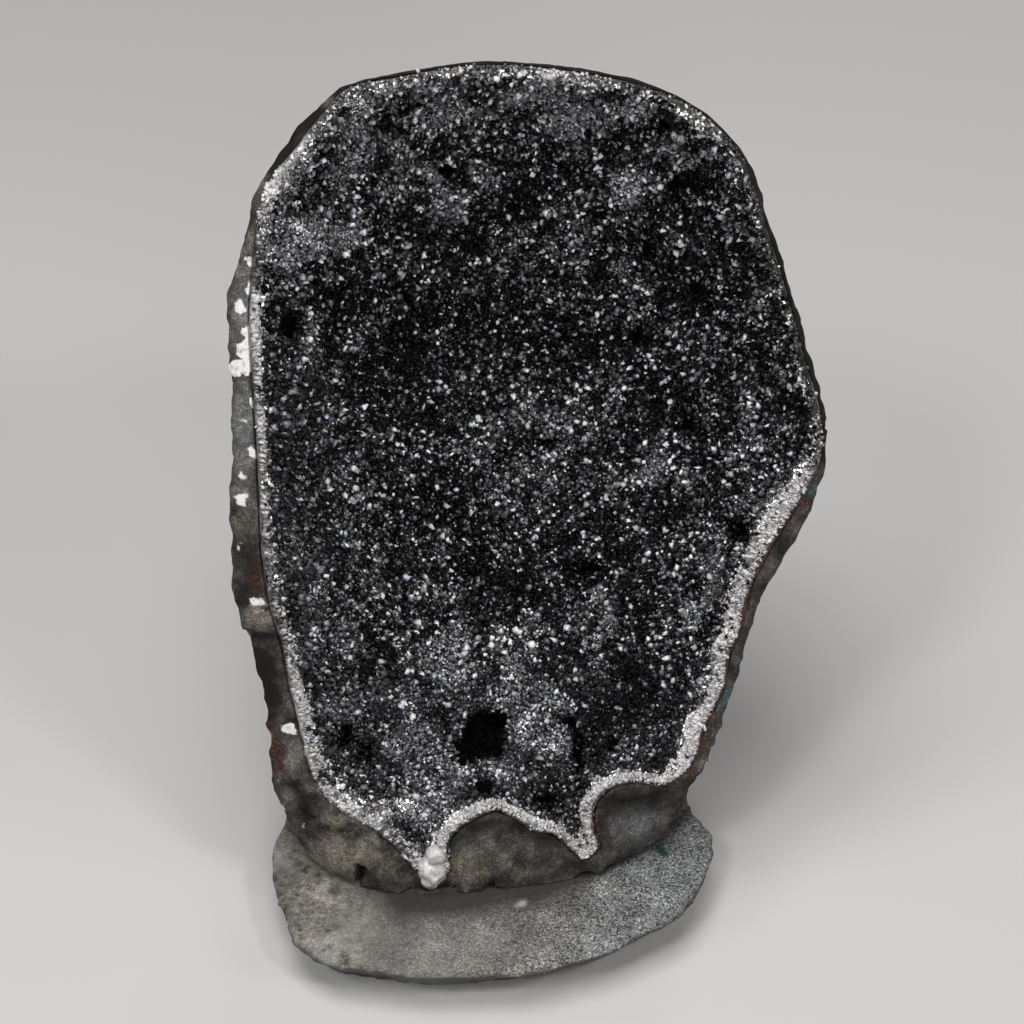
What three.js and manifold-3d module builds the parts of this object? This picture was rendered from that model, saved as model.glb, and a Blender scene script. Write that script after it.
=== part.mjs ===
// A free-standing half geode: a basalt rind lined with a crust of dark druzy quartz, open at the
// front and leaning back a little, standing on a rough flat slab of grey basalt.
// Millimetres, +Z up. The opening faces -Y, and the origin is on the table under the middle.
import * as THREE from "three";
import { mergeVertices } from "three/addons/utils/BufferGeometryUtils.js";
import Module from "manifold-3d";

// Driving dimensions.
const LEAN = 20; // degrees that the opening leans back from upright
const FACE_MIDDLE = 92.4; // height of the middle of the opening
const VIEW_RISE = 40; // the outline is drawn as seen from this many degrees above level
const VIEW_AWAY = 570; // and from this far off
const CELLS = 30; // crystal cells across the opening, even
const HALF_CELLS = CELLS / 2;
const GAP = 0.3; // clearance between neighbouring pieces
const RIM_GAP = 0.6; // the iron-stained joint between quartz and basalt at the rim
const SOCKET_ROOM = 1.4; // extra clearance behind the crust, out of sight
const CRUST_ROOM = 1.004; // the crust, this much larger, also cuts its socket
const CAVITY_DEPTH = 43;
const CRUST_BACK_DEPTH = 49;
const RIND_BACK_DEPTH = 59;
const CRUST_LEAST = 1.8; // least quartz behind a hollow
const RIND_LEAST = 1.6; // least basalt behind the crust, away from the rim
const CAVITY_FLARE = 1.5; // how fast each wall draws in behind the rim
const CRUST_FLARE = 1.2;
const SOCKET_FLARE = 1.12;
const RIND_FLARE = 0.95;
const RING_SPREAD = 1.2; // over 1 packs the cells closer in the middle
const CRYSTAL_LEAST = 0.9;
const CRYSTAL_MOST = 3.4;
const CRYSTAL_SHARE = 0.72; // share of the cells that carry a raised crystal
const FOOT_DROP = 24; // how far the front wall goes down below the rim
const FOOT_FORWARD = 2.4; // how far the front lobes bulge forward
const FOOT_SHARE = 0.22; // share of the outer skin's rings that make the front wall
const SLAB_THICKNESS = 12;
const SLAB_ROUND = 1.6; // worn top edge
const SLAB_UNDERCUT = 8; // how far the underside draws in
const BASIN_MIDDLE = [4, 4]; // middle of the cavity on the face: across, up
const HEART_AHEAD = 45; // the point that the lining faces, this far in front of the opening
const CRYSTAL_LEAN = 1.7; // how far a tip leans sideways at most, twice
const SLAB_POINTS = 46; // round the slab
const SLAB_MIDDLE = [-4, -3];
const SLAB_CHIPS = [0.5, 0.9, 1.6, 1.2, 0.4]; // chipping of the slab's side, from the top down
// Layers of smooth lumps: size, height, and a number that makes each layer its own.
const LINING_LUMPS = [[17, 1.5, 3], [8, 0.9, 11]];
const RIND_LUMPS = [[21, 2.6, 31], [9, 1.5, 47]];

// The rim where quartz meets basalt, clockwise from the top, as seen: across, up, then how far
// behind the face, the width of the pale quartz band inside and of the basalt outside.
const RIM = [
  [-2.4, 89, 2, 1.6, 0.6], [10.8, 87.8, 3, 1.6, 0.6], [26, 84.8, 4, 1.6, 0.6],
  [37.2, 79.6, 6, 1.6, 0.6], [45, 71.6, 7, 1.4, 0.6], [50.2, 57.6, 8, 1.4, 0.6],
  [54.4, 44.4, 9, 1.4, 0.6], [57.8, 31.4, 9, 1.4, 0.6], [61.2, 20, 9, 1.4, 0.6],
  [61.4, 12, 9, 1.8, 0.8], [59.8, 6.4, 9, 3, 1.8], [55.4, -0.6, 9, 4, 2.8],
  [50.6, -8.4, 8.5, 3.4, 2.8], [47, -16, 8, 2.6, 2.4], [45.2, -24, 8, 2.4, 1.2],
  [43, -28.8, 8, 2.4, 1.8], [42.4, -34, 8, 2.8, 1.4], [40.4, -38.8, 8, 2.8, 2],
  [38, -43.2, 7.5, 2.8, 2.6], [37, -47.6, 7, 3, 2.2], [34.2, -52.2, 6, 2.6, 1.6],
  [30, -54.4, 4.5, 1.6, 1.6], [24, -53.8, 3, 1.6, 1.6], [18.6, -55.6, 1.5, 1.8, 1.6],
  [16, -59.2, 1, 1.8, 1.6], [16, -63.2, 2, 1.6, 1.6], [17, -67, 3, 1.8, 1.6],
  [14.2, -69.2, 3, 2.4, 1.6], [11.4, -66.8, 2, 2, 1.6], [8, -64, 0.5, 1.8, 1.6],
  [4.2, -63.4, 0, 1.8, 1.6], [0.6, -61, -1, 1.8, 1.6], [-3.2, -59.4, -2, 1.8, 1.6],
  [-8.2, -61.4, -2.5, 1.8, 1.6], [-12, -64.2, -2.5, 2, 1.6], [-13.2, -67.6, -1.5, 2, 1.6],
  [-12.6, -71.6, 0, 2.2, 1.6], [-16.2, -75.2, 0.5, 2.6, 1.6], [-19.4, -71.2, -0.5, 2.4, 1.6],
  [-22.8, -67.2, -1.5, 2.4, 1.6], [-28, -63, -2, 2.4, 2], [-33.4, -60, -2, 2.4, 4],
  [-38, -56, -2, 2.4, 6], [-40.6, -50, -3, 2, 6.6], [-42.4, -42, -4, 2, 5.8],
  [-44.4, -34, -5, 1.8, 5.6], [-45.6, -26.6, -6, 1.8, 6], [-48, -18.8, -7, 1.8, 6.4],
  [-49.6, -8.8, -8, 1.8, 6], [-50.2, 2.4, -8, 1.8, 5.4], [-50.8, 14.4, -8, 1.8, 4.4],
  [-51.6, 26.4, -7, 1.8, 3.8], [-52.2, 38.4, -6, 1.8, 4.2], [-51.6, 48.8, -5, 1.8, 2.8],
  [-50.2, 59.6, -4, 1.6, 1.2], [-48.8, 65.2, -3, 1.6, 1.4], [-43.2, 72.4, -2, 1.6, 2.6],
  [-37.2, 80, -1, 1.6, 2.2], [-32.8, 84.2, 0, 1.4, 1], [-21.4, 86.8, 1, 1.4, 0.8],
  [-12, 88.4, 2, 1.4, 0.6],
];
const BAND_FLOOR = -67.2; // the crystals' edge keeps above the two valleys of the front rim
// Where the rim turns along the ground, as shares of the way round: the front wall hangs here.
const FOOT_FROM = 0.385;
const FOOT_TO = 0.645;
const FOOT_BLEND = 0.016;
// The line where the front wall meets the slab, in plan from right to left: across and back.
const FOOT_LINE = [
  [38.2, -3.8], [32.9, -10.4], [27.4, -15.4], [20.9, -19.7], [15, -23.2], [5.9, -25.5],
  [-2.5, -26], [-11, -27.7], [-17, -28.9], [-23.6, -28.3], [-32, -25.5], [-38.7, -20.3],
  [-45.5, -12.4], [-47.5, -9.5],
];

// Mounds and hollows of the crystal lining, as seen: across, up, radius, height.
const SWELLS = [
  [-5.4, -44.8, 5, -5.5], [15.2, -11.6, 4.5, -4], [14, -44, 3.5, -3.5], [14, -52, 3, -3],
  [46, -3.6, 3, -2.5], [25.4, 35.4, 2.8, -3], [35.6, 67.4, 4.5, -2.5], [34.6, 17.6, 5, -2.5],
  [-44.8, 37.4, 3, -2.5], [17, -20.4, 6, 4], [16.6, -8.6, 3.6, 3], [0.6, -33.6, 9, 3.5],
  [-38.4, 54, 6, 3], [22.6, 63.4, 5, 2.5], [11, -46, 3.2, 3], [-26.4, -58, 6, 3],
  [-36, -30, 8, 3], [-20, 30, 12, -3], [0, 50, 12, 2.5], [30, -30, 7, 2.5],
  [-4, -54, 5, 2.5], [40, 34, 7, 2.5], [-14, 4, 9, 2.5], [38, -8, 6, -2.5],
];

// The slab's top in plan, clockwise from the front: across and back.
const SLAB_TOP = [
  [-9, -51.5], [-18, -51.5], [-27, -50.5], [-35, -49], [-42, -46], [-46, -41], [-49.5, -32],
  [-52, -23], [-52, -16], [-50, -11], [-48.5, -4], [-47, 8], [-43, 21], [-35, 33],
  [-20, 41], [-3, 43.5], [13, 41], [27, 33], [35, 20], [38, 6], [39, -4], [43.2, -13],
  [43, -20], [40.5, -27], [36, -33.5], [28.5, -39.5], [20, -45], [10, -48.5], [0, -50.5],
];

const STONE = new THREE.MeshStandardMaterial({ color: 0x6e655c, roughness: 0.9 });
const QUARTZ = new THREE.MeshStandardMaterial({ color: 0x46474b, roughness: 0.35 });
const SLAB_STONE = new THREE.MeshStandardMaterial({ color: 0x8b847a, roughness: 0.92 });

const wasm = await Module();
wasm.setup();

// The face of the opening and the place that the outline is seen from.
const vec = (x, y, z) => new THREE.Vector3(x, y, z);
const lean = THREE.MathUtils.degToRad(LEAN);
const rise = THREE.MathUtils.degToRad(VIEW_RISE);
const middle = vec(0, 0, FACE_MIDDLE);
const faceUp = vec(0, Math.sin(lean), Math.cos(lean));
const faceOut = vec(0, -Math.cos(lean), Math.sin(lean));
const viewUp = vec(0, Math.sin(rise), Math.cos(rise));
const viewBack = vec(0, -Math.cos(rise), Math.sin(rise));
const eye = middle.clone().addScaledVector(viewBack, VIEW_AWAY);
const heart = middle.clone().addScaledVector(faceOut, HEART_AHEAD);
const basin = middle.clone().add(vec(BASIN_MIDDLE[0], 0, 0)).addScaledVector(faceUp, BASIN_MIDDLE[1]);

// The point of the face, moved back by some depth, that is seen at these two distances.
function onFace(across, up, back) {
  const ray = middle.clone().add(vec(across, 0, 0)).addScaledVector(viewUp, up).sub(eye);
  const plane = middle.clone().addScaledVector(faceOut, -back);
  return eye.clone().addScaledVector(ray, plane.sub(eye).dot(faceOut) / ray.dot(faceOut));
}

// Where a point is seen: the reverse of onFace.
function seen(point) {
  const ray = point.clone().sub(eye);
  const scale = VIEW_AWAY / -ray.dot(viewBack);
  return [ray.x * scale, ray.dot(viewUp) * scale];
}

const smooth = (from, to, value) => THREE.MathUtils.smoothstep(value, from, to);

// A repeatable random number between 0 and 1 for three whole numbers.
function chance(i, j, k) {
  let h = (i * 374761393 + j * 668265263 + k * 2147483647) | 0;
  h = Math.imul(h ^ (h >>> 13), 1274126177);
  return ((h ^ (h >>> 16)) >>> 0) / 4294967295;
}

// Smooth lumps between -1 and 1, each about the given size.
function lumps(point, size, seed) {
  const at = point.clone().divideScalar(size);
  const low = at.clone().floor();
  const part = at.clone().sub(low);
  const ease = (v) => v * v * (3 - 2 * v);
  let sum = 0;
  for (let corner = 0; corner < 8; corner++) {
    const [dx, dy, dz] = [corner & 1, (corner >> 1) & 1, corner >> 2];
    const weight =
      ease(dx ? part.x : 1 - part.x) * ease(dy ? part.y : 1 - part.y) * ease(dz ? part.z : 1 - part.z);
    sum += weight * chance(low.x + dx, low.y + dy, (low.z + dz) * 7 + seed);
  }
  return sum * 2 - 1;
}

// Several layers of lumps at a point.
function rough(point, layers) {
  return layers.reduce((sum, [size, height, seed]) => sum + height * lumps(point, size, seed), 0);
}

// The rim as closed lines of points: the crystals' edge, the meeting of quartz and basalt,
// the basalt's own edge there, and its outer edge.
const ROUND = 4 * CELLS;
function rimLines() {
  const line = new THREE.CatmullRomCurve3(RIM.map(([x, y, back]) => vec(x, y, back)), true);
  const widths = new THREE.CatmullRomCurve3(RIM.map((row) => vec(row[3], row[4], 0)), true);
  line.arcLengthDivisions = 2000;
  const stops = [];
  for (let i = 0; i < ROUND; i++) {
    const t = line.getUtoTmapping(i / ROUND);
    stops.push({ at: line.getPoint(t), width: widths.getPoint(t) });
  }
  const step = (i) => stops[(i + ROUND) % ROUND].at;
  let edge = stops.map((stop, i) => {
    const along = step(i + 1).clone().sub(step(i - 1)).setZ(0).normalize();
    stop.outward = vec(-along.y, along.x, 0);
    const point = stop.at.clone().addScaledVector(stop.outward, -stop.width.x);
    return point.setY(Math.max(point.y, BAND_FLOOR));
  });
  for (let pass = 0; pass < 3; pass++) {
    edge = edge.map((point, i) => {
      const beside = edge[(i + 1) % ROUND].clone().add(edge[(i + ROUND - 1) % ROUND]);
      return point.clone().multiplyScalar(0.5).addScaledVector(beside, 0.25);
    });
  }
  const place = (point, deeper) => onFace(point.x, point.y, point.z + deeper);
  const beyond = (stop, distance) => stop.at.clone().addScaledVector(stop.outward, distance);
  return {
    edge: edge.map((point) => place(point, 0.6)),
    meet: stops.map((stop) => place(stop.at, 0)),
    meetRind: stops.map((stop) => place(beyond(stop, RIM_GAP), 0)),
    outer: stops.map((stop) => place(beyond(stop, RIM_GAP + stop.width.y), 0.3 + stop.width.y * 0.4)),
  };
}
const rim = rimLines();
const rimLeft = Math.min(...rim.outer.slice(ROUND / 2, ROUND * FOOT_TO).map((point) => point.x));

// The same line with its bends rounded off, for the rings far behind the rim.
function rounded(line) {
  let now = line;
  for (let pass = 0; pass < 60; pass++) {
    now = now.map((point, i) => {
      const beside = now[(i + 1) % ROUND].clone().add(now[(i + ROUND - 1) % ROUND]);
      return point.clone().multiplyScalar(0.4).addScaledVector(beside, 0.3);
    });
  }
  return now;
}

// A bowl behind a rim line: the point at a share of the way out from its middle, and of the way round.
function bowl(line, depth, flare) {
  const even = rounded(line);
  return (out, i) => {
    const turn = (out ** RING_SPREAD * Math.PI) / 2;
    const onRim = even[i].clone().lerp(line[i], out ** 4);
    const inward = basin.clone().lerp(onRim, Math.sin(turn));
    return inward.addScaledVector(faceOut, -depth * Math.abs(Math.cos(turn)) ** flare);
  };
}

// How far the lining swells towards the opening at a point.
function swell(point, out) {
  const [across, up] = seen(point);
  let total = rough(point, LINING_LUMPS);
  for (const [x, y, radius, height] of SWELLS) {
    total += height * Math.exp(-((across - x) ** 2 + (up - y) ** 2) / (radius * radius));
  }
  return total * smooth(0, 0.16, 1 - out);
}

const cavityBowl = bowl(rim.edge, CAVITY_DEPTH, CAVITY_FLARE);
const crustBowl = bowl(rim.meet, CRUST_BACK_DEPTH, CRUST_FLARE);
const rindSocketBowl = bowl(rim.meetRind, CRUST_BACK_DEPTH + SOCKET_ROOM, SOCKET_FLARE);
const rindBowl = bowl(rim.outer, RIND_BACK_DEPTH, RIND_FLARE);

function towardsOpening(point, distance) {
  const way = heart.clone().sub(point).normalize();
  return point.addScaledVector(way, distance);
}

const lining = (out, i) => {
  const point = cavityBowl(out, i);
  return towardsOpening(point, swell(point, out));
};

// A point moved straight away from the heart until it is at least this far from it.
function pushedOut(point, least) {
  const away = point.clone().sub(heart);
  return away.setLength(Math.max(away.length(), least)).add(heart);
}

// The back of the crust and the socket in the basalt give way behind the lining's hollows.
function crustBack(out, i) {
  const least = lining(out, i).distanceTo(heart) + CRUST_LEAST * smooth(0, 0.12, 1 - out);
  return pushedOut(crustBowl(out, i), least);
}

function rindSocket(out, i) {
  const room = GAP + SOCKET_ROOM * smooth(0, 0.1, 1 - out);
  return pushedOut(rindSocketBowl(out, i), crustBack(out, i).distanceTo(heart) + room);
}

// How far a point of the rim moves across, back and down on its way to the foot.
function footShift(onRim) {
  const [rightEnd, leftEnd] = [FOOT_LINE[0], FOOT_LINE.at(-1)];
  const reach = onRim.x * (onRim.x < 0 ? leftEnd[0] / rimLeft : 1);
  const across = THREE.MathUtils.clamp(reach, leftEnd[0], rightEnd[0]);
  const next = Math.max(FOOT_LINE.findIndex(([x]) => x <= across), 1);
  const [right, left] = [FOOT_LINE[next - 1], FOOT_LINE[next]];
  const back = THREE.MathUtils.mapLinear(across, right[0], left[0], right[1], left[1]);
  return vec(across - onRim.x, back - onRim.y, -FOOT_DROP);
}

// The outer skin. Under the front rim it first hangs down to the foot as a wall of lobes.
function rindSkin(out, i) {
  const around = i / ROUND;
  const begun = smooth(FOOT_FROM - FOOT_BLEND, FOOT_FROM + FOOT_BLEND, around);
  const hang = begun * (1 - smooth(FOOT_TO - FOOT_BLEND, FOOT_TO + FOOT_BLEND, around));
  const down = Math.min((1 - out) / FOOT_SHARE, 1);
  const point = rindBowl(Math.min(out / (1 - FOOT_SHARE * hang), 1), i);
  const kept = smooth(0.1, 0.5, out);
  if (hang > 0) point.addScaledVector(footShift(rim.outer[i]), hang * down * kept);
  point.y -= FOOT_FORWARD * hang * Math.sin(Math.PI * down) * kept;
  const away = point.clone().sub(basin).normalize();
  point.addScaledVector(away, rough(point, RIND_LUMPS) * smooth(0, 0.2, 1 - out));
  const least = rindSocket(out, i).distanceTo(heart) + RIND_LEAST * smooth(0, 0.15, 1 - out);
  return pushedOut(point, least);
}

// A closed mesh is gathered as shared points and the triangles between them.
class Gathering {
  points = [];
  faces = [];
  add(point) {
    this.points.push(point.clone());
    return this.points.length - 1;
  }
  face(a, b, c) {
    this.faces.push(a, b, c);
  }
  quad(a, b, c, d) {
    this.faces.push(a, b, c, a, c, d);
  }
}

// Which ring and place around it a corner of the square grid has: the grid's rings are the bowl's.
function ringPlace(column, row) {
  const x = column - HALF_CELLS;
  const y = HALF_CELLS - row;
  const ring = Math.max(Math.abs(x), Math.abs(y));
  let step = 0;
  if (ring > 0) {
    if (y === ring) step = x;
    else if (x === ring) step = 2 * ring - y;
    else if (y === -ring) step = 4 * ring - x;
    else step = 6 * ring + y;
  }
  const steps = 8 * ring || 1;
  return { ring, step: (step + steps) % steps, around: Math.round((step * ROUND) / steps) };
}

// A sheet over the whole bowl that hangs from a rim line, wound to face the opening or away from it.
function sheet(mesh, border, surface, facesOpening, raise) {
  const ids = [];
  for (let row = 0; row <= CELLS; row++) {
    for (let column = 0; column <= CELLS; column++) {
      const { ring, step, around } = ringPlace(column, row);
      if (ring === HALF_CELLS) ids.push(border[step]);
      else ids.push(mesh.add(surface(ring / HALF_CELLS, (around + ROUND) % ROUND)));
    }
  }
  for (let row = 0; row < CELLS; row++) {
    for (let column = 0; column < CELLS; column++) {
      const a = row * (CELLS + 1) + column;
      const corners = [ids[a], ids[a + CELLS + 1], ids[a + CELLS + 2], ids[a + 1]];
      if (!facesOpening) corners.reverse();
      const tip = raise ? raise(mesh, corners, row, column) : null;
      if (tip === null) mesh.quad(...corners);
      else corners.forEach((corner, k) => mesh.face(corner, corners[(k + 1) % 4], tip));
    }
  }
}

function band(mesh, inside, outside) {
  for (let i = 0; i < inside.length; i++) {
    const next = (i + 1) % inside.length;
    mesh.quad(inside[i], inside[next], outside[next], outside[i]);
  }
}

// A four-faced crystal over one cell of the lining, or none.
function crystal(mesh, corners, row, column) {
  if (chance(row, column, 5) > CRYSTAL_SHARE) return null;
  const [a, b, c, d] = corners.map((id) => mesh.points[id]);
  const normal = c.clone().sub(a).cross(d.clone().sub(b)).normalize();
  const tall = CRYSTAL_LEAST + (CRYSTAL_MOST - CRYSTAL_LEAST) * chance(row, column, 9) ** 1.6;
  const tip = a.clone().add(b).add(c).add(d).multiplyScalar(0.25);
  tip.addScaledVector(normal, tall);
  const aside = (k) => (chance(row, column, k) - 0.5) * CRYSTAL_LEAN;
  return mesh.add(tip.add(vec(aside(13), aside(17), aside(19))));
}

function solidOf(mesh) {
  const vertProperties = new Float32Array(mesh.points.flatMap((point) => point.toArray()));
  return new wasm.Manifold(
    new wasm.Mesh({ numProp: 3, vertProperties, triVerts: new Uint32Array(mesh.faces) }),
  );
}

// A block far wider than the part, with its top at the given height, for cutting a flat foot.
function below(height) {
  const box = new THREE.BoxGeometry(400, 400, 200).translate(0, 0, height - 100);
  box.deleteAttribute("normal");
  box.deleteAttribute("uv");
  const merged = mergeVertices(box);
  return new wasm.Manifold(
    new wasm.Mesh({
      numProp: 3,
      vertProperties: new Float32Array(merged.attributes.position.array),
      triVerts: new Uint32Array(merged.index.array),
    }),
  );
}

function meshOf(name, solid, material) {
  const { vertProperties, triVerts } = solid.getMesh();
  const geometry = new THREE.BufferGeometry();
  geometry.setAttribute("position", new THREE.BufferAttribute(vertProperties, 3));
  geometry.setIndex(new THREE.BufferAttribute(triVerts, 1));
  const mesh = new THREE.Mesh(geometry, material);
  mesh.name = name;
  return mesh;
}

// The crust: crystals towards the cavity, a pale broken edge at the rim and a smooth back.
function crustMesh() {
  const mesh = new Gathering();
  const edge = rim.edge.map((point) => mesh.add(point));
  const meet = rim.meet.map((point) => mesh.add(point));
  sheet(mesh, edge, lining, true, crystal);
  band(mesh, edge, meet);
  sheet(mesh, meet, crustBack, false);
  return mesh;
}

function crystalCrust() {
  return solidOf(crustMesh()).subtract(below(SLAB_THICKNESS + 2 * GAP));
}

// The basalt: a socket for the crust, a broken rim, and a lumpy outside cut flat below.
function geodeShell() {
  const mesh = new Gathering();
  const socketEdge = rim.meetRind.map((point) => mesh.add(point));
  const outerEdge = rim.outer.map((point) => mesh.add(point));
  sheet(mesh, socketEdge, rindSocket, true);
  band(mesh, socketEdge, outerEdge);
  sheet(mesh, outerEdge, rindSkin, false);
  let shell = solidOf(mesh);
  for (const sideways of [-GAP, GAP]) {
    const crust = crustMesh();
    for (const point of crust.points) {
      point.sub(heart).multiplyScalar(CRUST_ROOM).add(heart).x += sideways;
    }
    shell = shell.subtract(solidOf(crust));
  }
  return shell.subtract(below(SLAB_THICKNESS + GAP));
}

// The slab: a flat sawn top with a worn edge, chipped sides that draw in, and a flat underside.
function stoneBase() {
  const outline = new THREE.CatmullRomCurve3(SLAB_TOP.map(([x, y]) => vec(x, y, 0)), true);
  const heights = [SLAB_THICKNESS, SLAB_THICKNESS - SLAB_ROUND, SLAB_THICKNESS * 0.55, 2.2, 0];
  const draws = [SLAB_ROUND * 0.7, 0, SLAB_UNDERCUT * 0.35, SLAB_UNDERCUT * 0.8, SLAB_UNDERCUT];
  const centre = vec(...SLAB_MIDDLE, 0);
  const mesh = new Gathering();
  const rings = heights.map((height, level) =>
    outline.getSpacedPoints(SLAB_POINTS).slice(0, SLAB_POINTS).map((point) => {
      const reach = point.clone().sub(centre);
      const chip = SLAB_CHIPS[level] * lumps(point.clone().setZ(height * 1.5), 7, 60);
      const length = reach.length() - draws[level] + chip;
      return mesh.add(reach.setLength(length).add(centre).setZ(height));
    }),
  );
  const top = mesh.add(centre.clone().setZ(SLAB_THICKNESS));
  const bottom = mesh.add(centre.clone().setZ(0));
  for (let i = 0; i < SLAB_POINTS; i++) {
    const next = (i + 1) % SLAB_POINTS;
    mesh.face(top, rings[0][next], rings[0][i]);
    mesh.face(bottom, rings[4][i], rings[4][next]);
    for (let level = 0; level < 4; level++) {
      mesh.quad(rings[level][i], rings[level][next], rings[level + 1][next], rings[level + 1][i]);
    }
  }
  return solidOf(mesh);
}

const group = new THREE.Group();
group.add(meshOf("geode_shell", geodeShell(), STONE));
group.add(meshOf("crystal_crust", crystalCrust(), QUARTZ));
group.add(meshOf("stone_base", stoneBase(), SLAB_STONE));

// The part stands on the table with the middle of its box over the origin.
const box = new THREE.Box3().setFromObject(group);
const centre = box.getCenter(vec(0, 0, 0));
group.position.set(-centre.x, -centre.y, -box.min.z);

export default group;
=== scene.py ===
"""A free-standing half geode lined with dark druzy quartz, on its slab of grey stone.

Metres, +Z up. The opening faces -Y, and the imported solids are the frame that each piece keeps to.
"""

import math

import bpy
import numpy as np
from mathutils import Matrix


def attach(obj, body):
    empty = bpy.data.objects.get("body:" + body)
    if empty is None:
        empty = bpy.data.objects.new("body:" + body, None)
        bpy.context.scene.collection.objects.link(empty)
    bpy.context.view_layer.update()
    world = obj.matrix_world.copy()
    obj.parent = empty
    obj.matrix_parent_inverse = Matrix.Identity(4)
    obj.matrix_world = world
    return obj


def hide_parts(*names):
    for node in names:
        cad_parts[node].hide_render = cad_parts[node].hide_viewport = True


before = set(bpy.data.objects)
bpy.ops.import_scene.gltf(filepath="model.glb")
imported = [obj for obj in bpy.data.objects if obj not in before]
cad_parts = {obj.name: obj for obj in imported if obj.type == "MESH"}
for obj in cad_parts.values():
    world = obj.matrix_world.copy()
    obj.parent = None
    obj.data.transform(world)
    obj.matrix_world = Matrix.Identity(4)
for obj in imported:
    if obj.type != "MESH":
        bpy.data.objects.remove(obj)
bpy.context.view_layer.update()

# The view. The camera looks down on the opening from a little above its own height, from straight
# ahead, and the picture is a square whose pixels are each 0.2 mm wide at the opening.
MM = 0.001
OPENING = np.array([-0.003748, -0.008037, 0.0924])
RISE = math.radians(40)
AWAY = 0.570
PICTURE = 1024
PIXEL_MM = 0.2
VIEW_UP = np.array([0, math.sin(RISE), math.cos(RISE)])
VIEW_BACK = np.array([0, -math.cos(RISE), math.sin(RISE)])
EYE = OPENING + AWAY * VIEW_BACK

camera = bpy.data.objects.new("camera", bpy.data.cameras.new("camera"))
camera.location = EYE
camera.rotation_euler = (math.pi / 2 - RISE, 0, 0)
camera.data.sensor_width = 36
camera.data.lens = camera.data.sensor_width * AWAY / (PICTURE * PIXEL_MM * MM)
camera.data.clip_start = 0.01
bpy.context.scene.collection.objects.link(camera)
bpy.context.scene.camera = camera


def as_seen(points):
    """Where points stand in the picture, as columns of pixels across and down."""
    ray = points - EYE
    scale = AWAY / -(ray @ VIEW_BACK) / (PIXEL_MM * MM)
    return np.column_stack((PICTURE / 2 + ray[:, 0] * scale, PICTURE / 2 - (ray @ VIEW_UP) * scale))


# The studio: a pale matt floor, one wide soft light overhead and a little to the front, weaker
# ones from the sides and the front, and two small bright ones that make the crystals glint.
def new_material(name, roughness, gloss=0.5):
    """A material with its node tree and its shader."""
    material = bpy.data.materials.new(name)
    material.use_nodes = True
    shader = material.node_tree.nodes["Principled BSDF"]
    shader.inputs["Roughness"].default_value = roughness
    shader.inputs["Specular IOR Level"].default_value = gloss
    return material, material.node_tree, shader


def floor_finish():
    material, _, shader = new_material("pale_floor", 0.8)
    shader.inputs["Base Color"].default_value = (0.62, 0.61, 0.6, 1)
    return material


def soft_light(name, place, size, watts, colour=(1, 1, 1)):
    lamp = bpy.data.lights.new(name, "AREA")
    lamp.shape = "RECTANGLE"
    lamp.size, lamp.size_y = size
    lamp.energy = watts
    lamp.color = colour
    light = bpy.data.objects.new(name, lamp)
    light.location = place
    aim = np.array([0.0, 0.0, 0.08]) - np.array(place)
    spread = math.hypot(aim[0], aim[1])
    light.rotation_euler = (math.atan2(spread, -aim[2]), 0, math.atan2(aim[1], aim[0]) - math.pi / 2)
    bpy.context.scene.collection.objects.link(light)


bpy.ops.object.select_all(action="DESELECT")
bpy.ops.mesh.primitive_plane_add(size=6, location=(0, 0, 0))
floor = bpy.context.object
floor.name = "floor"
floor.data.materials.append(floor_finish())

soft_light("overhead", (-0.1, -0.1, 0.95), (0.6, 0.45), 5)
soft_light("left_fill", (-0.8, -0.45, 0.5), (0.3, 0.3), 1.8, (0.95, 0.97, 1))
soft_light("right_fill", (0.8, -0.35, 0.5), (0.25, 0.25), 0.9)
soft_light("front_fill", (0.15, -1.0, 0.6), (0.3, 0.2), 1.8)
soft_light("glint_left", (-0.35, -0.55, 0.9), (0.16, 0.16), 2)
soft_light("glint_right", (0.45, -0.45, 0.8), (0.14, 0.14), 1.6)
soft_light("rear_fill", (0.35, 1.0, 0.55), (0.4, 0.3), 1.6)
bpy.context.scene.view_settings.view_transform = "Standard"

world = bpy.data.worlds.new("studio")
world.use_nodes = True
world.node_tree.nodes["Background"].inputs["Color"].default_value = (0.92, 0.96, 1, 1)
world.node_tree.nodes["Background"].inputs["Strength"].default_value = 0.035
bpy.context.scene.world = world


# The slab. A piece of grey basalt, split and sawn flat above, with a worn edge and chipped sides
# that draw in underneath. It is salted with fine light and dark grains, and the geode rests on it.
def select_only(piece):
    bpy.ops.object.select_all(action="DESELECT")
    piece.select_set(True)
    bpy.context.view_layer.objects.active = piece


def copy_of(node, name):
    """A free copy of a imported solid, its doubles merged."""
    piece = bpy.data.objects.new(name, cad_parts[node].data.copy())
    bpy.context.scene.collection.objects.link(piece)
    piece.data.materials.clear()
    select_only(piece)
    bpy.ops.object.mode_set(mode="EDIT")
    bpy.ops.mesh.select_all(action="SELECT")
    bpy.ops.mesh.remove_doubles(threshold=1e-5)
    bpy.ops.object.mode_set(mode="OBJECT")
    if piece.data.has_custom_normals:
        bpy.ops.mesh.customdata_custom_splitnormals_clear()
    return piece


def rows_of(parts, value):
    """A vector of every vertex or face, such as its normal, as the rows of an array."""
    flat = np.empty(len(parts) * 3)
    parts.foreach_get(value, flat)
    return flat.reshape(-1, 3)


def points_of(piece):
    return rows_of(piece.data.vertices, "co")


def normals_of(piece):
    return rows_of(piece.data.vertices, "normal")


def move_to(piece, points):
    piece.data.vertices.foreach_set("co", points.ravel())
    piece.data.update()


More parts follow.
